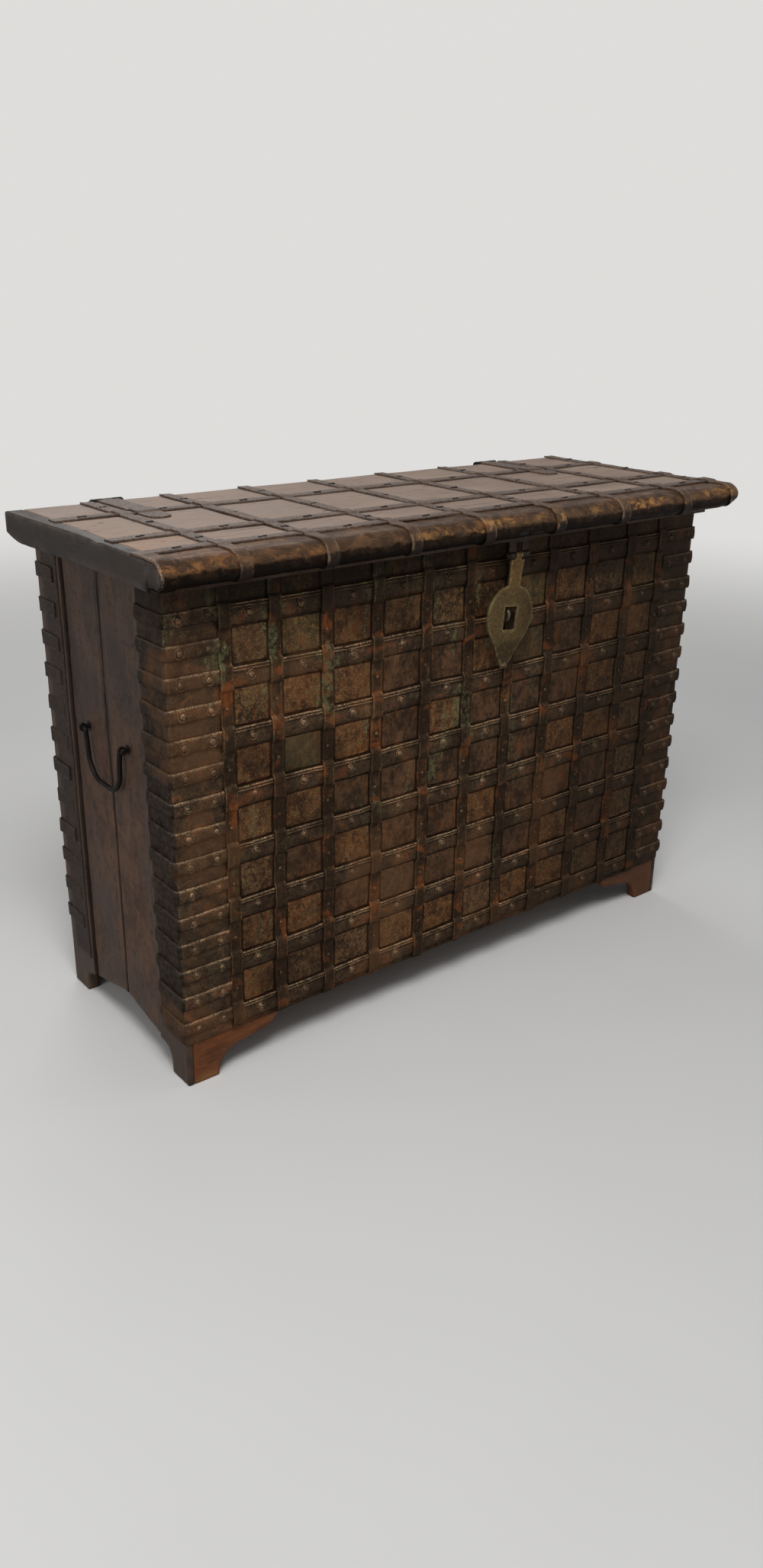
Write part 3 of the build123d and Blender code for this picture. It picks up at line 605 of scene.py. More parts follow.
def patina():
    """The front sheet: brown bronze with ochre and olive specks, dark pits, rust runs and green blooms."""
    f = Finish("patina", 0.5, 0.1, 0.55)
    cell, rise, stipple = f.mark("cell"), f.mark("rise"), f.mark("stipple")
    broad = f.noise(75, (1, 1, 0.8), detail=5, rough=0.65, warp=0.7)
    drift = f.noise(230, detail=2, rough=0.5)
    blotch = f.noise(22, (1, 1, 0.8), detail=6, rough=0.7, warp=0.5)
    mottle = f.noise(7, (1, 1, 0.8), detail=8, rough=0.8)
    streak = f.noise(11, (1, 1, 0.14), detail=6, rough=0.7)
    fine = f.noise(2.2, detail=6, rough=0.75)
    pebble = f.curve(f.spots(4.6), 0.5, 0.2)
    mingled = f.math("ADD", f.product(mottle, 0.5), f.product(blotch, 0.5))
    f.colour = f.mix(f.curve(drift, 0.4, 0.6), (54, 40, 30), (46, 38, 30))
    f.over((92, 67, 49), f.curve(mingled, 0.42, 0.58))
    reddish = f.curve(f.math("ADD", cell, f.product(drift, 0.5)), 0.7, 1.15, 0.0, 0.6)
    f.over(f.mix(f.curve(blotch, 0.4, 0.6), (74, 48, 32), (116, 74, 44)), reddish)
    olive = f.curve(f.math("SUBTRACT", cell, f.product(drift, 0.4)), 0.05, -0.2, 0.0, 0.4)
    f.over((84, 76, 48), olive)
    patchy = f.curve(f.math("ADD", blotch, f.product(stipple, 0.1)), 0.48, 0.6)
    ochre = f.mix(f.curve(broad, 0.42, 0.58), (136, 100, 60), (106, 96, 60))
    f.over(ochre, f.curve(mottle, 0.5, 0.6), patchy, f.curve(stipple, 0.0, 1.0, 0.14, 0.7))
    f.over((128, 100, 66), pebble, stipple, 0.4)
    f.over((128, 72, 34), f.curve(streak, 0.52, 0.64), f.curve(broad, 0.46, 0.6), 0.6)
    bloomed(f, mottle, 0.62)
    pits = f.math("MAXIMUM", f.curve(fine, 0.42, 0.34), f.curve(mottle, 0.4, 0.33))
    f.over((24, 18, 13), pits, f.curve(stipple, 0.0, 1.0, 0.42, 0.8))
    # Painted shade in the low margins round the raised cells, and lightly over the low top and bottom rows.
    f.over((26, 19, 14), f.curve(rise, 0.1, 0.9, 0.62, 0.0))
    f.raised(mottle, 2.0, 0.8)
    f.raised(f.product(pebble, stipple), 0.9, 0.8)
    f.raised(fine, 0.4, 0.8)
    drift_and_painted_shade(f)
    return f.done(f.curve(mottle, 0.35, 0.65, 0.58, 0.36))


def strapping(name, base, rust, pale, gold, rusting=0.7, side=None):
    """Strap metal: dark between, rusty in places, pale along beads, edges and rivet heads where they
    are worn and where a highlight is painted, with painted shade under bands and beads. What goes round
    the chest's ends takes the side tone there."""
    f = Finish(name, 0.45, 0.1, 0.6)
    broad = f.noise(58, detail=6, rough=0.7, warp=0.8)
    mottle = f.noise(9, detail=8, rough=0.78)
    fine = f.noise(2.6, detail=6, rough=0.75)
    f.colour = f.mix(0.5, base, (18, 14, 11))
    f.over(base, f.curve(mottle, 0.36, 0.62))
    f.over(rust, f.curve(broad, 0.52, 0.64, 0.0, rusting))
    f.over(gold, f.curve(mottle, 0.52, 0.64), f.curve(broad, 0.56, 0.42), 0.75)
    bloomed(f, mottle, 0.5)
    # Painted shade under bands and beads and round the feet of rivet heads.
    f.over((24, 18, 14), f.mark("dirt"), f.curve(mottle, 0.66, 0.45, 0.55, 0.95))
    # Pale where beads, edges and rivet heads are worn, and where a highlight is painted on them.
    rubbed = f.product(f.mark("shine"), f.curve(fine, 0.42, 0.54), f.curve(broad, 0.4, 0.56, 0.3, 1.0))
    f.over(pale, rubbed)
    f.over((20, 15, 12), f.curve(fine, 0.42, 0.32), 0.7)
    if side:
        grey = f.mix(f.curve(mottle, 0.38, 0.62), (25, 20, 17), side)
        # Painted shade, then the worn and painted highlight, on the chest's ends too.
        grey = f.mix(f.product(f.mark("dirt"), 0.9), grey, (16, 12, 10))
        grey = f.mix(f.product(rubbed, 0.5), grey, (104, 90, 78))
        outwards = f.math("ABSOLUTE", f.axis("X"))
        f.over(grey, f.curve(outwards, half_length + 0.2 * MM, half_length + 1.6 * MM))
    f.raised(mottle, 1.4, 0.8)
    f.raised(fine, 0.4, 0.8)
    drift_and_painted_shade(f)
    return f.done(f.curve(rubbed, 0.1, 0.7, 0.46, 0.28))


def nose_metal():
    f = Finish("nose_metal", 0.42, 0.12, 0.45)
    flake, fine = nose_tones(f)
    # Pale along the end strap's outer edge at the shoulder: wear with a painted highlight.
    f.over((132, 118, 104), f.mark("rub"), f.curve(fine, 0.42, 0.56),
           f.fade("Z", -37, -17, origin=lid_high[2]), 0.75)
    f.raised(flake, 1.6, 0.8)
    f.raised(f.noise(10, (0.4, 1.4, 1.4), detail=3, warp=1.2), 1.4, 0.8)
    f.raised(fine, 0.4, 0.8)
    return f.done(f.curve(flake, 0.35, 0.65, 0.48, 0.32))


def plate_brass():
    """The hasp: olive brass with brown flaking on the neck, a dark tail, a pale tip, painted shade on its
    right half and a painted highlight round its rim.
    """
    f = Finish("hasp_metal", 0.46, 0.12, 0.6)
    flake = f.noise(9, detail=7, rough=0.78)
    fine = f.noise(2.2, detail=5, rough=0.7)
    right, _, top = high("hasp_plate")
    middle = (low("hasp_plate")[0] + right) / 2
    f.colour = (64, 52, 34)
    f.over((104, 88, 58), f.curve(fine, 0.34, 0.66))
    f.over((116, 84, 48), f.fade("Z", -73, -53, origin=top), f.curve(flake, 0.42, 0.58))
    f.over((46, 37, 29), f.fade("Z", -149, -165, 0.0, 0.7, top))
    f.over((150, 138, 112), f.fade("Z", -201, -208, 0.0, 0.6, top))
    f.over((132, 112, 68), f.curve(flake, 0.56, 0.68), 0.5)
    # Painted shade on the right half.
    f.over((62, 47, 31), f.curve(f.axis("X"), middle, right), f.curve(flake, 0.36, 0.56))
    # A painted highlight round the rim.
    f.over((168, 150, 110), f.mark("rub"), f.curve(flake, 0.4, 0.55), 0.5)
    f.raised(fine, 0.3, 0.8)
    f.raised(flake, 0.7, 0.6)
    return f.done(f.curve(flake, 0.35, 0.7, 0.52, 0.34))


plank_joint = (high("left_end_front_plank")[1] + low("left_end_rear_plank")[1]) / 2
plank_ends = (low("left_end_front_plank")[1], high("left_end_rear_plank")[1])
# Painted shadow under the lifted left edges of the lid's cross straps and front edges of its long straps.
lid_strap_shadow_lines = [("X", [a - 0.5 * MM for a, _ in crosses], 3.5), ("Y", [a - 0.5 * MM for a, _ in longs], 3.0)]
board_seam = (low("back_board_upper")[2] + high("back_board_lower")[2]) / 2
finishes = {
    "lid": timber("lid_timber", 0, (130, 110, 96), (94, 76, 64), (150, 132, 118), 0.55, dust=0.65,
                  cracks=0.75, edges=0.2, joint_and_shadow_lines=lid_strap_shadow_lines, stain_and_shade=dusty_orange,
                  top=high("lid_middle_plank")[2]),
    "lid_edge": timber("lid_edge_timber", 1, (42, 36, 33), (24, 20, 18), (80, 72, 66), dust=0.25, edges=0.8,
                       stain_and_shade=shaded_nose),
    "end": timber("end_timber", 2, (54, 41, 34), (26, 19, 16), (98, 78, 66), 0.48, specked=True, cracks=0.25,
                  joint_and_shadow_lines=[("Y", [plank_joint, *plank_ends], 6.5)], stain_and_shade=warmed_end),
    "post": timber("post_timber", 2, (66, 50, 40), (38, 29, 24), (96, 80, 68), cracks=0.4, edges=0.5,
                   joint_and_shadow_lines=[("Y", plank_ends, 6.0)]),
    "foot": timber("foot_timber", 0, (120, 70, 40), (70, 42, 27), (142, 96, 62), dust=0.4, cracks=0.3,
                   stain_and_shade=worn_and_shaded_foot),
    "inner": timber("inner_timber", 0, (116, 92, 68), (82, 63, 46), (138, 115, 90), 0.65, cracks=0.6,
                    joint_and_shadow_lines=[("Z", [board_seam], 4.0)]),
    "patina": patina(),
    "upright": strapping("upright_metal", (52, 39, 30), (124, 68, 34), (118, 96, 70), (84, 68, 44), 0.85),
    "level": strapping("level_metal", (60, 46, 36), (110, 60, 33), (176, 146, 112), (88, 70, 46)),
    "corner": strapping("corner_metal", (61, 47, 37), (108, 66, 42), (166, 138, 108), (98, 80, 50), 0.85,
                        side=(56, 48, 42)),
    "lid_strap": old_iron("lid_strap_metal", (92, 77, 68), (84, 62, 50), (128, 110, 97), 0.4, 0.5, 0.15,
                          round_nose),
    "end_strap": old_iron("end_strap_metal", (52, 43, 38), (70, 50, 39), (82, 72, 64), 0.5, 0.5, 0.3),
    "nose": nose_metal(),
    "hasp": plate_brass(),
    "bracket": old_iron("bracket_metal", (58, 51, 46), (70, 52, 40), (140, 132, 122), 0.35, 0.4, 0.6),
    "black": old_iron("black_metal", (30, 28, 28), (52, 40, 34), (78, 72, 70), 0.25, 0.42, 0.5),
    "steel": old_iron("steel_metal", (104, 97, 90), (92, 74, 58), (170, 162, 152), 0.35, 0.36, 0.75),
}


# The front: embossed sheet, upright and level straps, corner metal


def cell_lines(edges):
    """Grid lines over embossed cells, with each line's share of the full rise, cell number and depth."""
    inset, slope, step = 3.2 * MM, 1.4 * MM, 3.0 * MM
    values, rises, cells, depths = [], [], [], []
    for number, (a, b) in enumerate(edges):
        inner = spaced(a + inset + slope, b - inset - slope, step)
        line = np.concatenate([[a, a + inset], inner, [b - inset, b]])
        values.append(line)
        rises.append(np.concatenate([[0, 0], np.ones(len(inner)), [0, 0]]))
        cells.append(np.full(len(line), number))
        depths.append(np.minimum(line - a, b - line))
    return [np.concatenate(v) for v in (values, rises, cells, depths)]


def front_sheet():
    """The embossed sheet: a raised cell between each two straps both ways, dented and stippled."""
    columns = [(a[1], b[0]) for a, b in zip(uprights, uprights[1:])]
    rows = [(sheet_low[2], levels[0][0])] + [(a[1], b[0]) for a, b in zip(levels, levels[1:])]
    rows.append((levels[-1][1], sheet_high[2]))
    xs, x_rise, x_cell, x_depth = cell_lines(columns)
    zs, z_rise, z_cell, z_depth = cell_lines(rows)
    last = len(rows) - 1
    z_rise = np.where((z_cell == 0) | (z_cell == last), 0.4 * (z_rise > 0), z_rise)
    xs = np.concatenate([[sheet_low[0]], xs, [sheet_high[0]]])
    x_rise, x_cell, x_depth = np.pad(x_rise, 1), np.pad(x_cell, 1, mode="edge"), np.pad(x_depth, 1)
    gx, gz = np.meshgrid(xs, zs)
    rise = np.outer(z_rise, x_rise)
    inner = np.minimum(x_depth[None, :], z_depth[:, None])
    flat = np.stack([gx, np.zeros_like(gx), gz], axis=-1).reshape(-1, 3)
    near = (z_cell[:, None], x_cell[None, :])
    rng = np.random.default_rng(4)
    tint, lean_x, lean_z, crown = (rng.random((len(rows), len(columns)))[near] for _ in range(4))
    middle_x = np.array([(a + b) / 2 for a, b in columns])[x_cell][None, :]
    middle_z = np.array([(a + b) / 2 for a, b in rows])[z_cell][:, None]
    tilt = ((lean_x - 0.5) * (gx - middle_x) + (lean_z - 0.5) * (gz - middle_z)) * 0.035
    ridged = (z_cell == last - 1)[:, None] & (x_cell % 2 == 1)[None, :]
    nested = sum(np.exp(-((inner - d) / (1.5 * MM)) ** 2) for d in (11 * MM, 17 * MM))
    stippled = ((x_cell == 0) | (x_cell == len(columns) - 1))[None, :] | (z_cell >= last - 1)[:, None]
    stippled = (stippled | (z_cell <= 1)[:, None] | (tint > 0.72)) & (rise > 0.3)
    dents = (field(flat, 24 * MM, 5) * 0.7 + field(flat, 8 * MM, 6) * 0.45).reshape(gx.shape)
    pecks = field(flat, 4.5 * MM, 7).reshape(gx.shape) * np.where(stippled, 0.6, 0.15)
    height = rise * (1.9 + 0.8 * crown * np.clip(inner / (15 * MM), 0, 1)) * MM + tilt * rise
    height += nested * 0.7 * MM * ridged * rise + (dents + pecks) * MM * (0.25 + 0.6 * rise)
    height = np.clip(height, -0.6 * MM, 3.6 * MM)
    front = np.stack([gx, wood_front - sheet - height, gz], axis=-1).reshape(-1, 3)
    index = np.arange(gx.size).reshape(gx.shape)
    rim = np.concatenate([index[0], index[1:, -1], index[-1, -2::-1], index[-2:0:-1, 0]]).tolist()
    back = list(range(gx.size, gx.size + len(rim)))
    sides = list(zip(rim, back, back[1:] + back[:1], rim[1:] + rim[:1]))
    faces = quads(*gx.shape, closed=False) + sides + [back]
    points = np.concatenate([wavered(front), wavered(flat[rim] + Y * wood_front, 0.0)])
    marks = {"cell": np.broadcast_to(tint, gx.shape), "rise": rise, "stipple": stippled}
    shape = Shape()
    shape.add(points, faces, **{name: np.pad(np.ravel(1.0 * m), (0, len(rim))) for name, m in marks.items()})
    shape.build("front_sheet_metal", ["front_sheet"], "patina", crease=50)


def beats(run, pitch, seed):
    """1 and 0 in turn along a run, uneven, for beads as long as two samples."""
    swing = 0.5 + 0.5 * np.cos(2 * math.pi * run / pitch)
    line = np.stack([run, np.full_like(run, seed * 0.37), np.zeros_like(run)], axis=1)
    return (0.25 + 0.75 * swing) * np.clip(0.75 + 0.6 * field(line, 9 * MM, seed), 0.1, 1.2)


def upright_straps():
    """Beaded upright straps that step out over each level strap."""
    shape = Shape()
    face = wood_front - sheet
    over = low("front_upright_straps")[1] + strap
    ramp, turn = 6 * MM, 3 * MM
    corners = [(face, sheet_low[2], 0)]
    for z0, z1 in levels:
        corners += [(face, z0 - ramp, turn), (over, z0, turn), (over, z1, turn), (face, z1 + ramp, turn)]
    corners.append((face, sheet_high[2], 0))
    path, normals, run = trace(corners, 1.8 * MM)
    crossing = np.max([np.clip(1 - np.maximum(z0 - path[:, 1], path[:, 1] - z1).clip(0) / (10 * MM), 0, 1)
                       for z0, z1 in levels], axis=0)
    for number, (x0, x1) in enumerate(uprights):
        outline, edge = beaded(x1 - x0, strap, 1.2 * MM, 1.0 * MM, beats(run, 3.6 * MM, 20 + number))
        rings = swept(path, normals, outline, (Y, Z), X, (x0 + x1) / 2)
        rings = wavered(shaken(rings, (50, 0.8, 20 + number), (11, 0.35, 40 + number)))
        # Shine: worn beads with a painted highlight, stronger where the strap steps out over a level strap.
        shape.loft(rings, shine=np.outer(0.45 + 0.55 * crossing, 0.15 + 0.85 * edge))
    shape.build("upright_straps", ["front_upright_straps"], "upright", crease=60)


def level_straps():
    """Level straps, each with two rolled beads along its upper edge."""
    shape = Shape()
    xs = spaced(sheet_low[0], sheet_high[0], 2.0 * MM)
    bead = 1.7 * MM
    path = np.stack([xs, np.full_like(xs, wood_front - sheet - strap)], axis=1)
    for number, (z0, z1) in enumerate(levels):
        height = z1 - z0
        outline = [(0, -strap)] + [(z, 0.0) for z in spaced(0, height - 9.5 * MM, 5 * MM)]
        for centre in (height - bead - 5 * MM, height - bead):
            angles = np.linspace(-math.pi / 2, math.pi / 2, 6)
            outline += [(centre + bead * math.sin(a), bead * math.cos(a)) for a in angles]
        outline = np.array(outline + [(height, -strap)])
        crown = 1 - (outline[:, 0] / (height - 9 * MM) * 2 - 1) ** 2
        outline[:, 1] += 1.1 * MM * crown.clip(0) * (outline[:, 1] > -strap / 2)
        rolled = (outline[:, 0] > height - 9 * MM) & (outline[:, 1] > 0.3 * MM)
        beat = 0.5 * beats(xs, 4.0 * MM, 60 + number)[:, None] - 0.1
        outlines = outline + (rolled * beat * MM)[..., None] * [0, 1]
        rings = swept(path, (0, -1), outlines, (X, Y), Z, z0)
        rings = wavered(shaken(rings, (45, 0.6, 60 + number), (10, 0.35, 80 + number)))
        # Shine: a painted highlight on the rolled beads, most on the top one.
        topmost = outline[:, 0] > height - 4 * MM
        # Painted shade along the bottom edge and in the crease under the beads.
        dirt = (outline[:, 0] < 3 * MM) | (np.abs(outline[:, 0] - height + 9.5 * MM) < 1 * MM)
        shape.loft(rings, shine=0.12 + rolled * (0.35 + 0.5 * topmost), dirt=dirt)
    shape.build("level_straps", ["front_cross_straps"], "level", crease=60)


def wrapped(node, name, heights, depth, thickness, sink, seed, step=5.0, bead=0.0):
    """Metal bent round a front corner, one band for each (low, high) pair of heights."""
    lo, hi = low(node), high(node)
    side = -1 if lo[0] < 0 else 1
    inner = min(abs(lo[0]), abs(hi[0]))
    edge, front = half_length + depth, wood_front - depth
    path, normals, run = trace([(inner, front, 0), (edge, front, 3.5 * MM), (edge, hi[1], 0)], step * MM)
    shape = Shape()
    for number, (z0, z1) in enumerate(heights):
        height = z1 - z0
        outline = section(height, thickness, 4 * MM if bead else 9 * MM, sink)
        raised = outline[:, 1] > 0
        outline[:, 1] += 1.5 * MM * (1 - (2 * outline[:, 0] / height) ** 2) * raised * (bead > 0)
        rolled = (outline[:, 0] > height / 2 - 3.5 * MM) & raised
        beat = bead * beats(run, 4.0 * MM, seed + number)[:, None]
        outlines = outline + (rolled * beat * MM)[..., None] * [0, 1]
        rings = swept(path, -normals, outlines, (X * side, Y), Z, (z0 + z1) / 2)
        rings = wavered(shaken(rings, (38, 0.9, seed + number), (10, 0.4, seed + 50 + number)))
        # On the bands, painted shade along the lower edge, and shine as a painted highlight on the top bead.
        dirt = np.clip(1 - (outline[:, 0] + height / 2) / (6 * MM), 0, 1) * (bead > 0)
        shape.loft(rings, shine=0.12 + 0.75 * rolled, dirt=dirt)
    shape.build(name, [node], "corner", crease=55)


def corner_metal():
    for side in ("left", "right"):
        node = f"front_{side}_corner_sheet"
        wrapped(node, f"{side}_corner_sheet_metal", spans(node, 2), 0.0, 2.5 * MM, 0.0, 110)
        node = f"front_{side}_corner_bands"
        heights = [(max(z0, z1 - 24 * MM), z1) for z0, z1 in spans(node, 2)]
        wrapped(node, f"{side}_corner_band_metal", heights, 2.5 * MM, 2.4 * MM, 1.0 * MM, 130, step=2.0,
                bead=0.8)


def rear_bands():
    for side, sign in (("left", -1), ("right", 1)):
        node = f"rear_{side}_corner_bands"
        lo, hi = low(node), high(node)
        inner = min(abs(lo[0]), abs(hi[0]))
        thick = (hi[1] - wood_back) / 2
        edge, back = half_length + thick, wood_back + thick
        path, normals, _ = trace([(edge, lo[1], 0), (edge, back, 3 * MM), (inner, back, 0)], 5 * MM)
        shape = Shape()
        for number, (z0, z1) in enumerate(spans(node, 2)):
            outline = section(z1 - z0, thick, 4 * MM, 0.3 * MM)
            rings = swept(path, -normals, outline, (X * sign, Y), Z, (z0 + z1) / 2)
            rings = shaken(rings, (60, 1.6, 220 + number), (11, 0.3, 240 + number))
            shape.loft(rings, rub=rubbed(outline) * 0.8)
        shape.build(f"rear_{side}_band_metal", [node], "end_strap")


# Rivets, studs and nails


def heads(node, name, finish, profile, axis, seed, waver=False, twin=False, segments=14, highlight_and_wear=0.42):
    """Turned heads in place of a node's: (radius, height) profile, standing out along an axis."""
    shape = Shape()
    rng = np.random.default_rng(seed)
    across = [Z, X] if axis[1] else [X, Y]
    angles = np.linspace(0, 2 * math.pi, segments, endpoint=False)
    heights = np.array(profile)[:, 1:]
    # Shine paints a highlight on the raised rings and dome; on nails the same mark shows wear.
    shine = 0.05 + highlight_and_wear * (heights > 1.2)
    for a, b in solids(node):
        seat = np.where(axis < 0, b, a) * np.abs(axis) + (a + b) / 2 * (1 - np.abs(axis))
        if waver:
            seat = wavered(seat[None])[0]
        for turn in (0, 1) if twin else (0,):
            scale = rng.uniform(0.85, 1.08)
            slip = (rng.uniform(-1, 1, 2) * 0.8 + (turn - 0.5) * twin * np.array([9.0, 1.5])) * MM
            lean = rng.uniform(-0.05, 0.05, 2)
            rings = []
            for radius, height in profile:
                reach = radius * MM * scale * (1 + 0.05 * np.sin(angles * 3 + rng.uniform(0, 6)))
                u, v = reach * np.cos(angles), reach * np.sin(angles)
                out = height * MM * scale + u * lean[0] + v * lean[1]
                place = seat + slip[0] * across[0] + slip[1] * across[1]
                rings.append(place + u[:, None] * across[0] + v[:, None] * across[1] + out[:, None] * axis)
            # The lowest rings get painted shade.
            shape.loft(np.array(rings), shine=shine, rub=shine, dirt=heights < 0.75)
    shape.build(name, [node], finish, crease=50)


washered = [(9.4, -1.2), (9.2, 0.7), (8.6, 1.7), (7.7, 2.0), (6.8, 1.3), (6.0, 0.7), (5.6, 1.6), (4.8, 3.0),
            (3.2, 4.1), (1.3, 4.5)]
studded = [(3.4, -0.8), (3.4, 0.5), (2.9, 1.3), (1.9, 2.0), (0.7, 2.3)]
nailed = [(4.2, -0.8), (4.0, 0.4), (3.1, 1.2), (1.6, 1.6), (0.6, 1.7)]


# The lid's metal


def round_the_nose(rear, height, grow, low_end=rail_front - 6 * MM, bumps=(), step=5.0):
    """Path over the lid's top from the rear, past each bump, round the moulding and back under it."""
    top, bottom, front = lid_high[2] + grow, lid_low[2] - grow, lid_low[1] - grow
    corners = [(rear, height, 0)]
    for far, near, level, after in bumps:
        corners += [(far + 6 * MM, corners[-1][1], 3 * MM), (far, level, 3 * MM), (near, level, 3 * MM),
                    (near - 6 * MM, after, 3 * MM)]
    corners += [(front, top, 24 * MM + grow), (front, bottom, 13.9 * MM + grow), (low_end, bottom, 0)]
    path, normals, run = trace(corners, step * MM, turns=14)
    return path, -normals, run


def tapered(points):
    """The moulding's right end, beaten in and up underneath."""
    points = np.array(points, float)
    flat = points.reshape(-1, 3)
    share = np.clip((flat[:, 0] - (lid_high[0] - 50 * MM)) / (50 * MM), 0, 1) ** 2
    ahead = flat[:, 1] < rail_front + 2 * MM
    flat[:, 2] += np.where(ahead, 0.36 * share * (lid_high[2] - flat[:, 2]).clip(0), 0)
    flat[:, 1] += np.where(ahead, 0.12 * share * (rail_front - flat[:, 1]), 0)
    return flat.reshape(points.shape)


def nose_sheath():
    lo, hi = low("nose_sheath"), high("nose_sheath")
    path, normals, run = round_the_nose(hi[1], lid_high[2], 0.0, hi[1] - 60 * MM, step=3.0)
    outline = section(hi[0] - lo[0], sheath, 3.5 * MM, 0.0)
    flat = swept(path, normals, outline, (Y, Z), X).reshape(-1, 3)
    out = np.repeat(normals @ np.array([Y, Z]), len(outline), axis=0)
    turn = np.repeat(run / run[-1], len(outline))
    dent = field(flat * [0.6, 1, 1], 40 * MM, 9) * 0.9 + field(flat, 13 * MM, 10) * 0.55
    patch = np.clip(field(flat * [1, 0, 0], 60 * MM, 12) * 2 - 0.2, 0, 1)
    crumple = np.exp(-((turn - 0.52) / 0.09) ** 2) * patch * np.sin(flat[:, 0] / (1.5 * MM) + 4 * dent)
    skin = np.tile(outline[:, 1] > 0.5 * MM, len(path))
    rings = flat + out * (np.clip(dent + 0.7 * crumple, -0.7, 1.5) * MM * skin)[:, None]
    shape = Shape()
    shape.loft(tapered(rings).reshape(len(path), len(outline), 3))
    shape.build("nose_sheath_metal", ["nose_sheath"], "nose", crease=60)


def long_straps(node, name, seed):
    """Straps that lie flat along the lid."""
    shape = Shape()
    for number, (lo, hi) in enumerate(solids(node)):
        xs = spaced(lo[0], hi[0], 6 * MM)
        path = np.stack([xs, np.full_like(xs, lo[2])], axis=1)
        outline = section(hi[1] - lo[1], hi[2] - lo[2], 4 * MM, 0.3 * MM, lip=0.3 * MM, lift=0.9 * MM)
        rings = swept(path, (0, 1), outline, (X, Z), Y, (lo[1] + hi[1]) / 2)
        rings = shaken(rings, (70, 1.0, seed + number), (12, 0.3, seed + number + 9))
        shape.loft(rings, rub=rubbed(outline) * 0.7)
    shape.build(name, [node], "lid_strap")


def cross_straps():
    """Straps across the lid and round its moulding, over the long straps and the joint strap."""
    top = lid_high[2]
    joint_lo, joint_hi = low("nose_joint_strap"), high("nose_joint_strap")
    bumps = [(far, near, top + strap, top) for near, far in reversed(longs)]
    bumps.append((joint_hi[1], joint_lo[1], top + sheath + strap, top + sheath))
    path, normals, _ = round_the_nose(high("lid_rear_plank")[1], top, sheath, bumps=bumps)
    names = {"lid_cross_straps": "lid_strap_metal", "lid_right_edge_strap": "lid_edge_strap_metal"}
    for node, name in names.items():
        shape = Shape()
        for number, (x0, x1) in enumerate(spans(node, 0)):
            outline = section(x1 - x0, strap, 4 * MM, 0.5 * MM, lip=0.3 * MM, lift=0.9 * MM)
            rings = swept(path, normals, outline, (Y, Z), X, (x0 + x1) / 2)
            rings = shaken(rings, (60, 1.0, 150 + number), (12, 0.3, 170 + number))
            shape.loft(tapered(rings), rub=rubbed(outline) * 0.9)
        shape.build(name, [node], "lid_strap")


def nose_end_strap():
    """The strap round the moulding's left end, worn and given a painted highlight along its outer edge."""
    lo, hi = low("nose_left_end_strap"), high("nose_left_end_strap")
    path, normals, _ = round_the_nose(hi[1], lid_high[2] + sheath, sheath)
    outline = section(hi[0] - lo[0], strap, 4 * MM, 0.4 * MM)
    rings = swept(path, normals, outline, (Y, Z), X, (lo[0] + hi[0]) / 2)
    rings = shaken(rings, (40, 0.6, 205), (12, 0.3, 206))
    shape = Shape()
    shape.loft(rings, rub=outline[:, 0] < -0.35 * (hi[0] - lo[0]))
    shape.build("nose_end_strap_metal", ["nose_left_end_strap"], "nose")


def bowed(points):
    """The left end board: bowed out at the rear, its top edge chipped."""
    points = points.copy()
    weight = np.clip((low("lid_front_plank")[0] - points[:, 0]) / (20 * MM), 0, 1)
    rear = np.clip(points[:, 1] / wood_back, 0, 1) ** 2
    middle = np.exp(-((points[:, 1] + 40 * MM) / (110 * MM)) ** 2)
    points[:, 0] -= weight * (8 * rear - 3 * middle) * MM
    chips = np.clip(field(points * [0, 1, 0], 34 * MM, 31), 0.15, 1) - 0.15
    points[:, 2] -= weight * chips * 4 * MM * (points[:, 2] > lid_high[2] - 3 * MM)
    return points


front_sheet()
upright_straps()
level_straps()
corner_metal()
rear_bands()
heads("front_strap_rivets", "strap_rivet_heads", "level", washered, -Y, 1, waver=True)
heads("corner_band_rivets", "band_rivet_heads", "corner", washered, -Y, 2, waver=True)
heads("front_studs", "stud_heads", "level", studded, -Y, 3, waver=True, segments=10, highlight_and_wear=0.25)
heads("lid_nails", "nail_heads", "black", nailed, Z, 4, twin=True, segments=9)
nose_sheath()
cross_straps()
long_straps("lid_long_straps", "lid_long_strap_metal", 190)
long_straps("nose_joint_strap", "nose_joint_strap_metal", 199)
nose_end_strap()

# Nodes that are copied with worn edges and faces
boards = {
    "lid": ["lid_front_plank", "lid_middle_plank", "lid_rear_plank"],
    "lid_edge": ["lid_right_end_board"],
    "end": ["left_end_front_plank", "left_end_rear_plank", "right_end_front_plank", "right_end_rear_plank"],
    "post": ["front_left_post", "front_right_post", "rear_left_post", "rear_right_post"],
    "foot": ["front_board_lower"],
}
for finish, nodes in boards.items():
    for node in nodes:
        worn(node, finish)
worn("lid_left_end_board", "lid_edge", pitch=10, shape=bowed)
worn("lid_nose", "lid_edge", shape=tapered)
worn("rear_corner_strips", "end_strap", edge=0.4)
worn("hasp_plate", "hasp", pitch=4, edge=0.7, layers=((30, 0.35, 310), (7, 0.12, 311)), rub=1.6)
for node in ("left_hinge_lid_leaf", "right_hinge_lid_leaf"):
    worn(node, "lid_strap", pitch=8, edge=0.4, layers=((30, 0.3, 312),), rub=2.0)
for node in ("left_bail", "right_bail"):
    worn(node, "black", pitch=5, edge=0, layers=((14, 0.35, 313),), crease=60, rub=2.0)

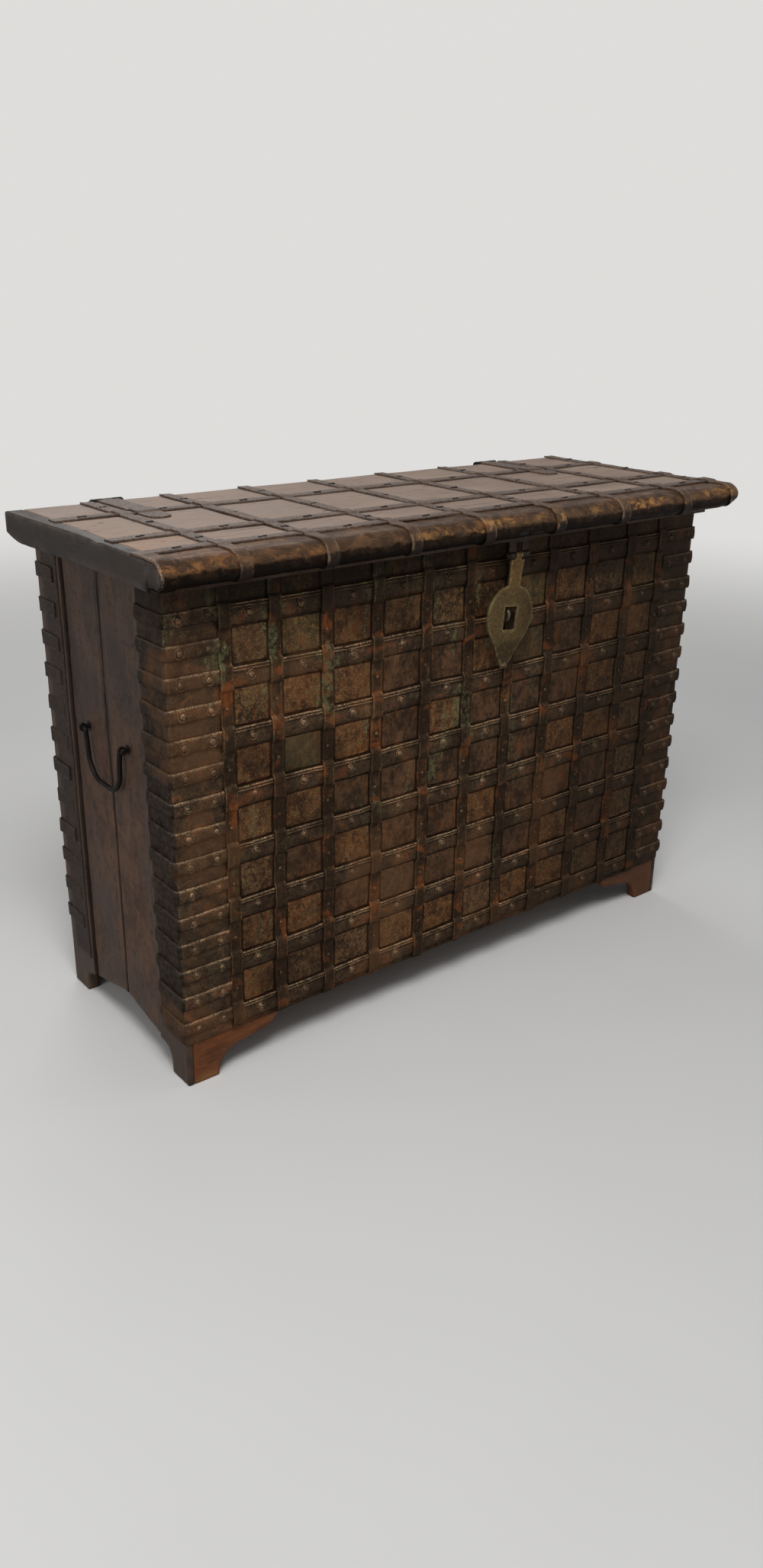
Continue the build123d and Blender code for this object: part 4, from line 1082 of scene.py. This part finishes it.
# Nodes that keep their CAD shape and only get a finish
kept = {
    "inner": ["front_board_upper", "back_board_upper", "back_board_lower", "floor_front_plank",
              "floor_rear_plank", "floor_bearers", "lid_battens", "lid_left_end_rail", "lid_right_end_rail",
              "lid_rear_rail"],
    "post": ["lid_front_rail"],
    "black": ["left_bail_eyes", "right_bail_eyes", "left_hinge_back_leaf", "right_hinge_back_leaf",
              "hinge_pins"],
    "bracket": ["hasp_bracket"],
    "steel": ["hasp_staple", "hasp_pin"],
}
for finish, nodes in kept.items():
    for node in nodes:
        mesh = frame["nodes"][node].data
        mesh.materials.clear()
        mesh.materials.append(finishes[finish])


# Floor, backdrop, light and camera


def floor():
    """A pale disc that fades into the backdrop's own colour far from the chest."""
    mesh = bpy.data.meshes.new("floor")
    radii, count = [0, 1.2, 2.4, 4, 7, 12, 20, 40], 64
    points = [(r * math.cos(2 * math.pi * i / count), r * math.sin(2 * math.pi * i / count), 0)
              for r in radii[1:] for i in range(count)]
    faces = [list(range(count))] + [face[::-1] for face in quads(len(radii) - 1, count)]
    mesh.from_pydata(points, [], faces)
    f = Finish("floor_paint", 0.9, 0.1, tint=(1, 1, 1, 1))
    f.colour = f.mix(f.noise(600, detail=2), (204, 203, 201), (210, 209, 207))
    mesh.materials.append(f.done())
    fade_start, fade_end = 1.6, 5.0
    away = f.node("VectorMath", "Value", {0: f.place}, operation="LENGTH")
    glow = f.node("Emission", 0, {"Color": backdrop, "Strength": 1.0})
    blend = f.node("MixShader", 0, {0: f.curve(away, fade_start, fade_end), 1: f.shader.outputs[0], 2: glow})
    put(f.tree, f.tree.nodes["Material Output"].inputs["Surface"], blend)
    placed("floor", mesh)


def world():
    """Dim light from all round, and the pale backdrop where the camera or a shiny surface looks at it."""
    made = bpy.data.worlds.new("world")
    made.use_nodes = True
    tree = made.node_tree
    dim = tree.nodes["Background"]
    dim.inputs["Color"].default_value = tone(222, 224, 228)
    dim.inputs["Strength"].default_value = 0.34
    pale = add_node(tree, "Background", 0, {"Color": backdrop})
    seen = add_node(tree, "LightPath", "Is Camera Ray", {})
    rays = seen.node.outputs
    for kind in ("Is Glossy Ray", "Is Transmission Ray"):
        seen = add_node(tree, "Math", 0, {0: seen, 1: rays[kind]}, operation="MAXIMUM")
    blend = add_node(tree, "MixShader", 0, {0: seen, 1: dim.outputs[0], 2: pale})
    put(tree, tree.nodes["World Output"].inputs["Surface"], blend)
    bpy.context.scene.world = made


def lamp(name, place, aim, size, power):
    light = bpy.data.lights.new(name, "AREA")
    light.shape = "DISK"
    light.size = size
    light.energy = power
    holder = placed(name, light)
    holder.location = place
    holder.rotation_euler = (Vector(aim) - Vector(place)).to_track_quat("-Z", "Y").to_euler()


def camera():
    """The photograph's camera, solved from the chest's corners."""
    yaw, pitch, roll = (math.radians(a) for a in (38.62, 22.50, -0.83))
    ahead = Vector((math.sin(yaw) * math.cos(pitch), math.cos(yaw) * math.cos(pitch), -math.sin(pitch)))
    right = Vector((math.cos(yaw), -math.sin(yaw), 0))
    down = ahead.cross(right)
    lean, sway = math.cos(roll), math.sin(roll)
    right, down = right * lean + down * sway, down * lean - right * sway
    data = bpy.data.cameras.new("camera")
    focus_pixels, image_pixels = 1570, 2056
    data.sensor_fit = "VERTICAL"
    data.sensor_height = 36
    data.lens = focus_pixels / image_pixels * data.sensor_height
    holder = placed("camera", data)
    turn = Matrix((right, -down, -ahead)).transposed().to_4x4()
    place = (-1.3758, -1.6690, 1.2375)
    holder.matrix_world = Matrix.Translation(place) @ turn
    bpy.context.scene.camera = holder


floor()
world()
lamp("key", (-1.1, -1.5, 3.1), (0, 0, 0.5), 1.3, 70)
lamp("left", (-3.2, -0.6, 1.7), (-0.5, 0, 0.5), 1.6, 24)
lamp("right", (2.6, -1.6, 2.2), (0.3, 0, 0.5), 1.8, 7)
lamp("rear", (0.6, 2.4, 2.6), (0, 0, 0.6), 1.8, 25)
bpy.context.scene.view_settings.view_transform = "Standard"
camera()
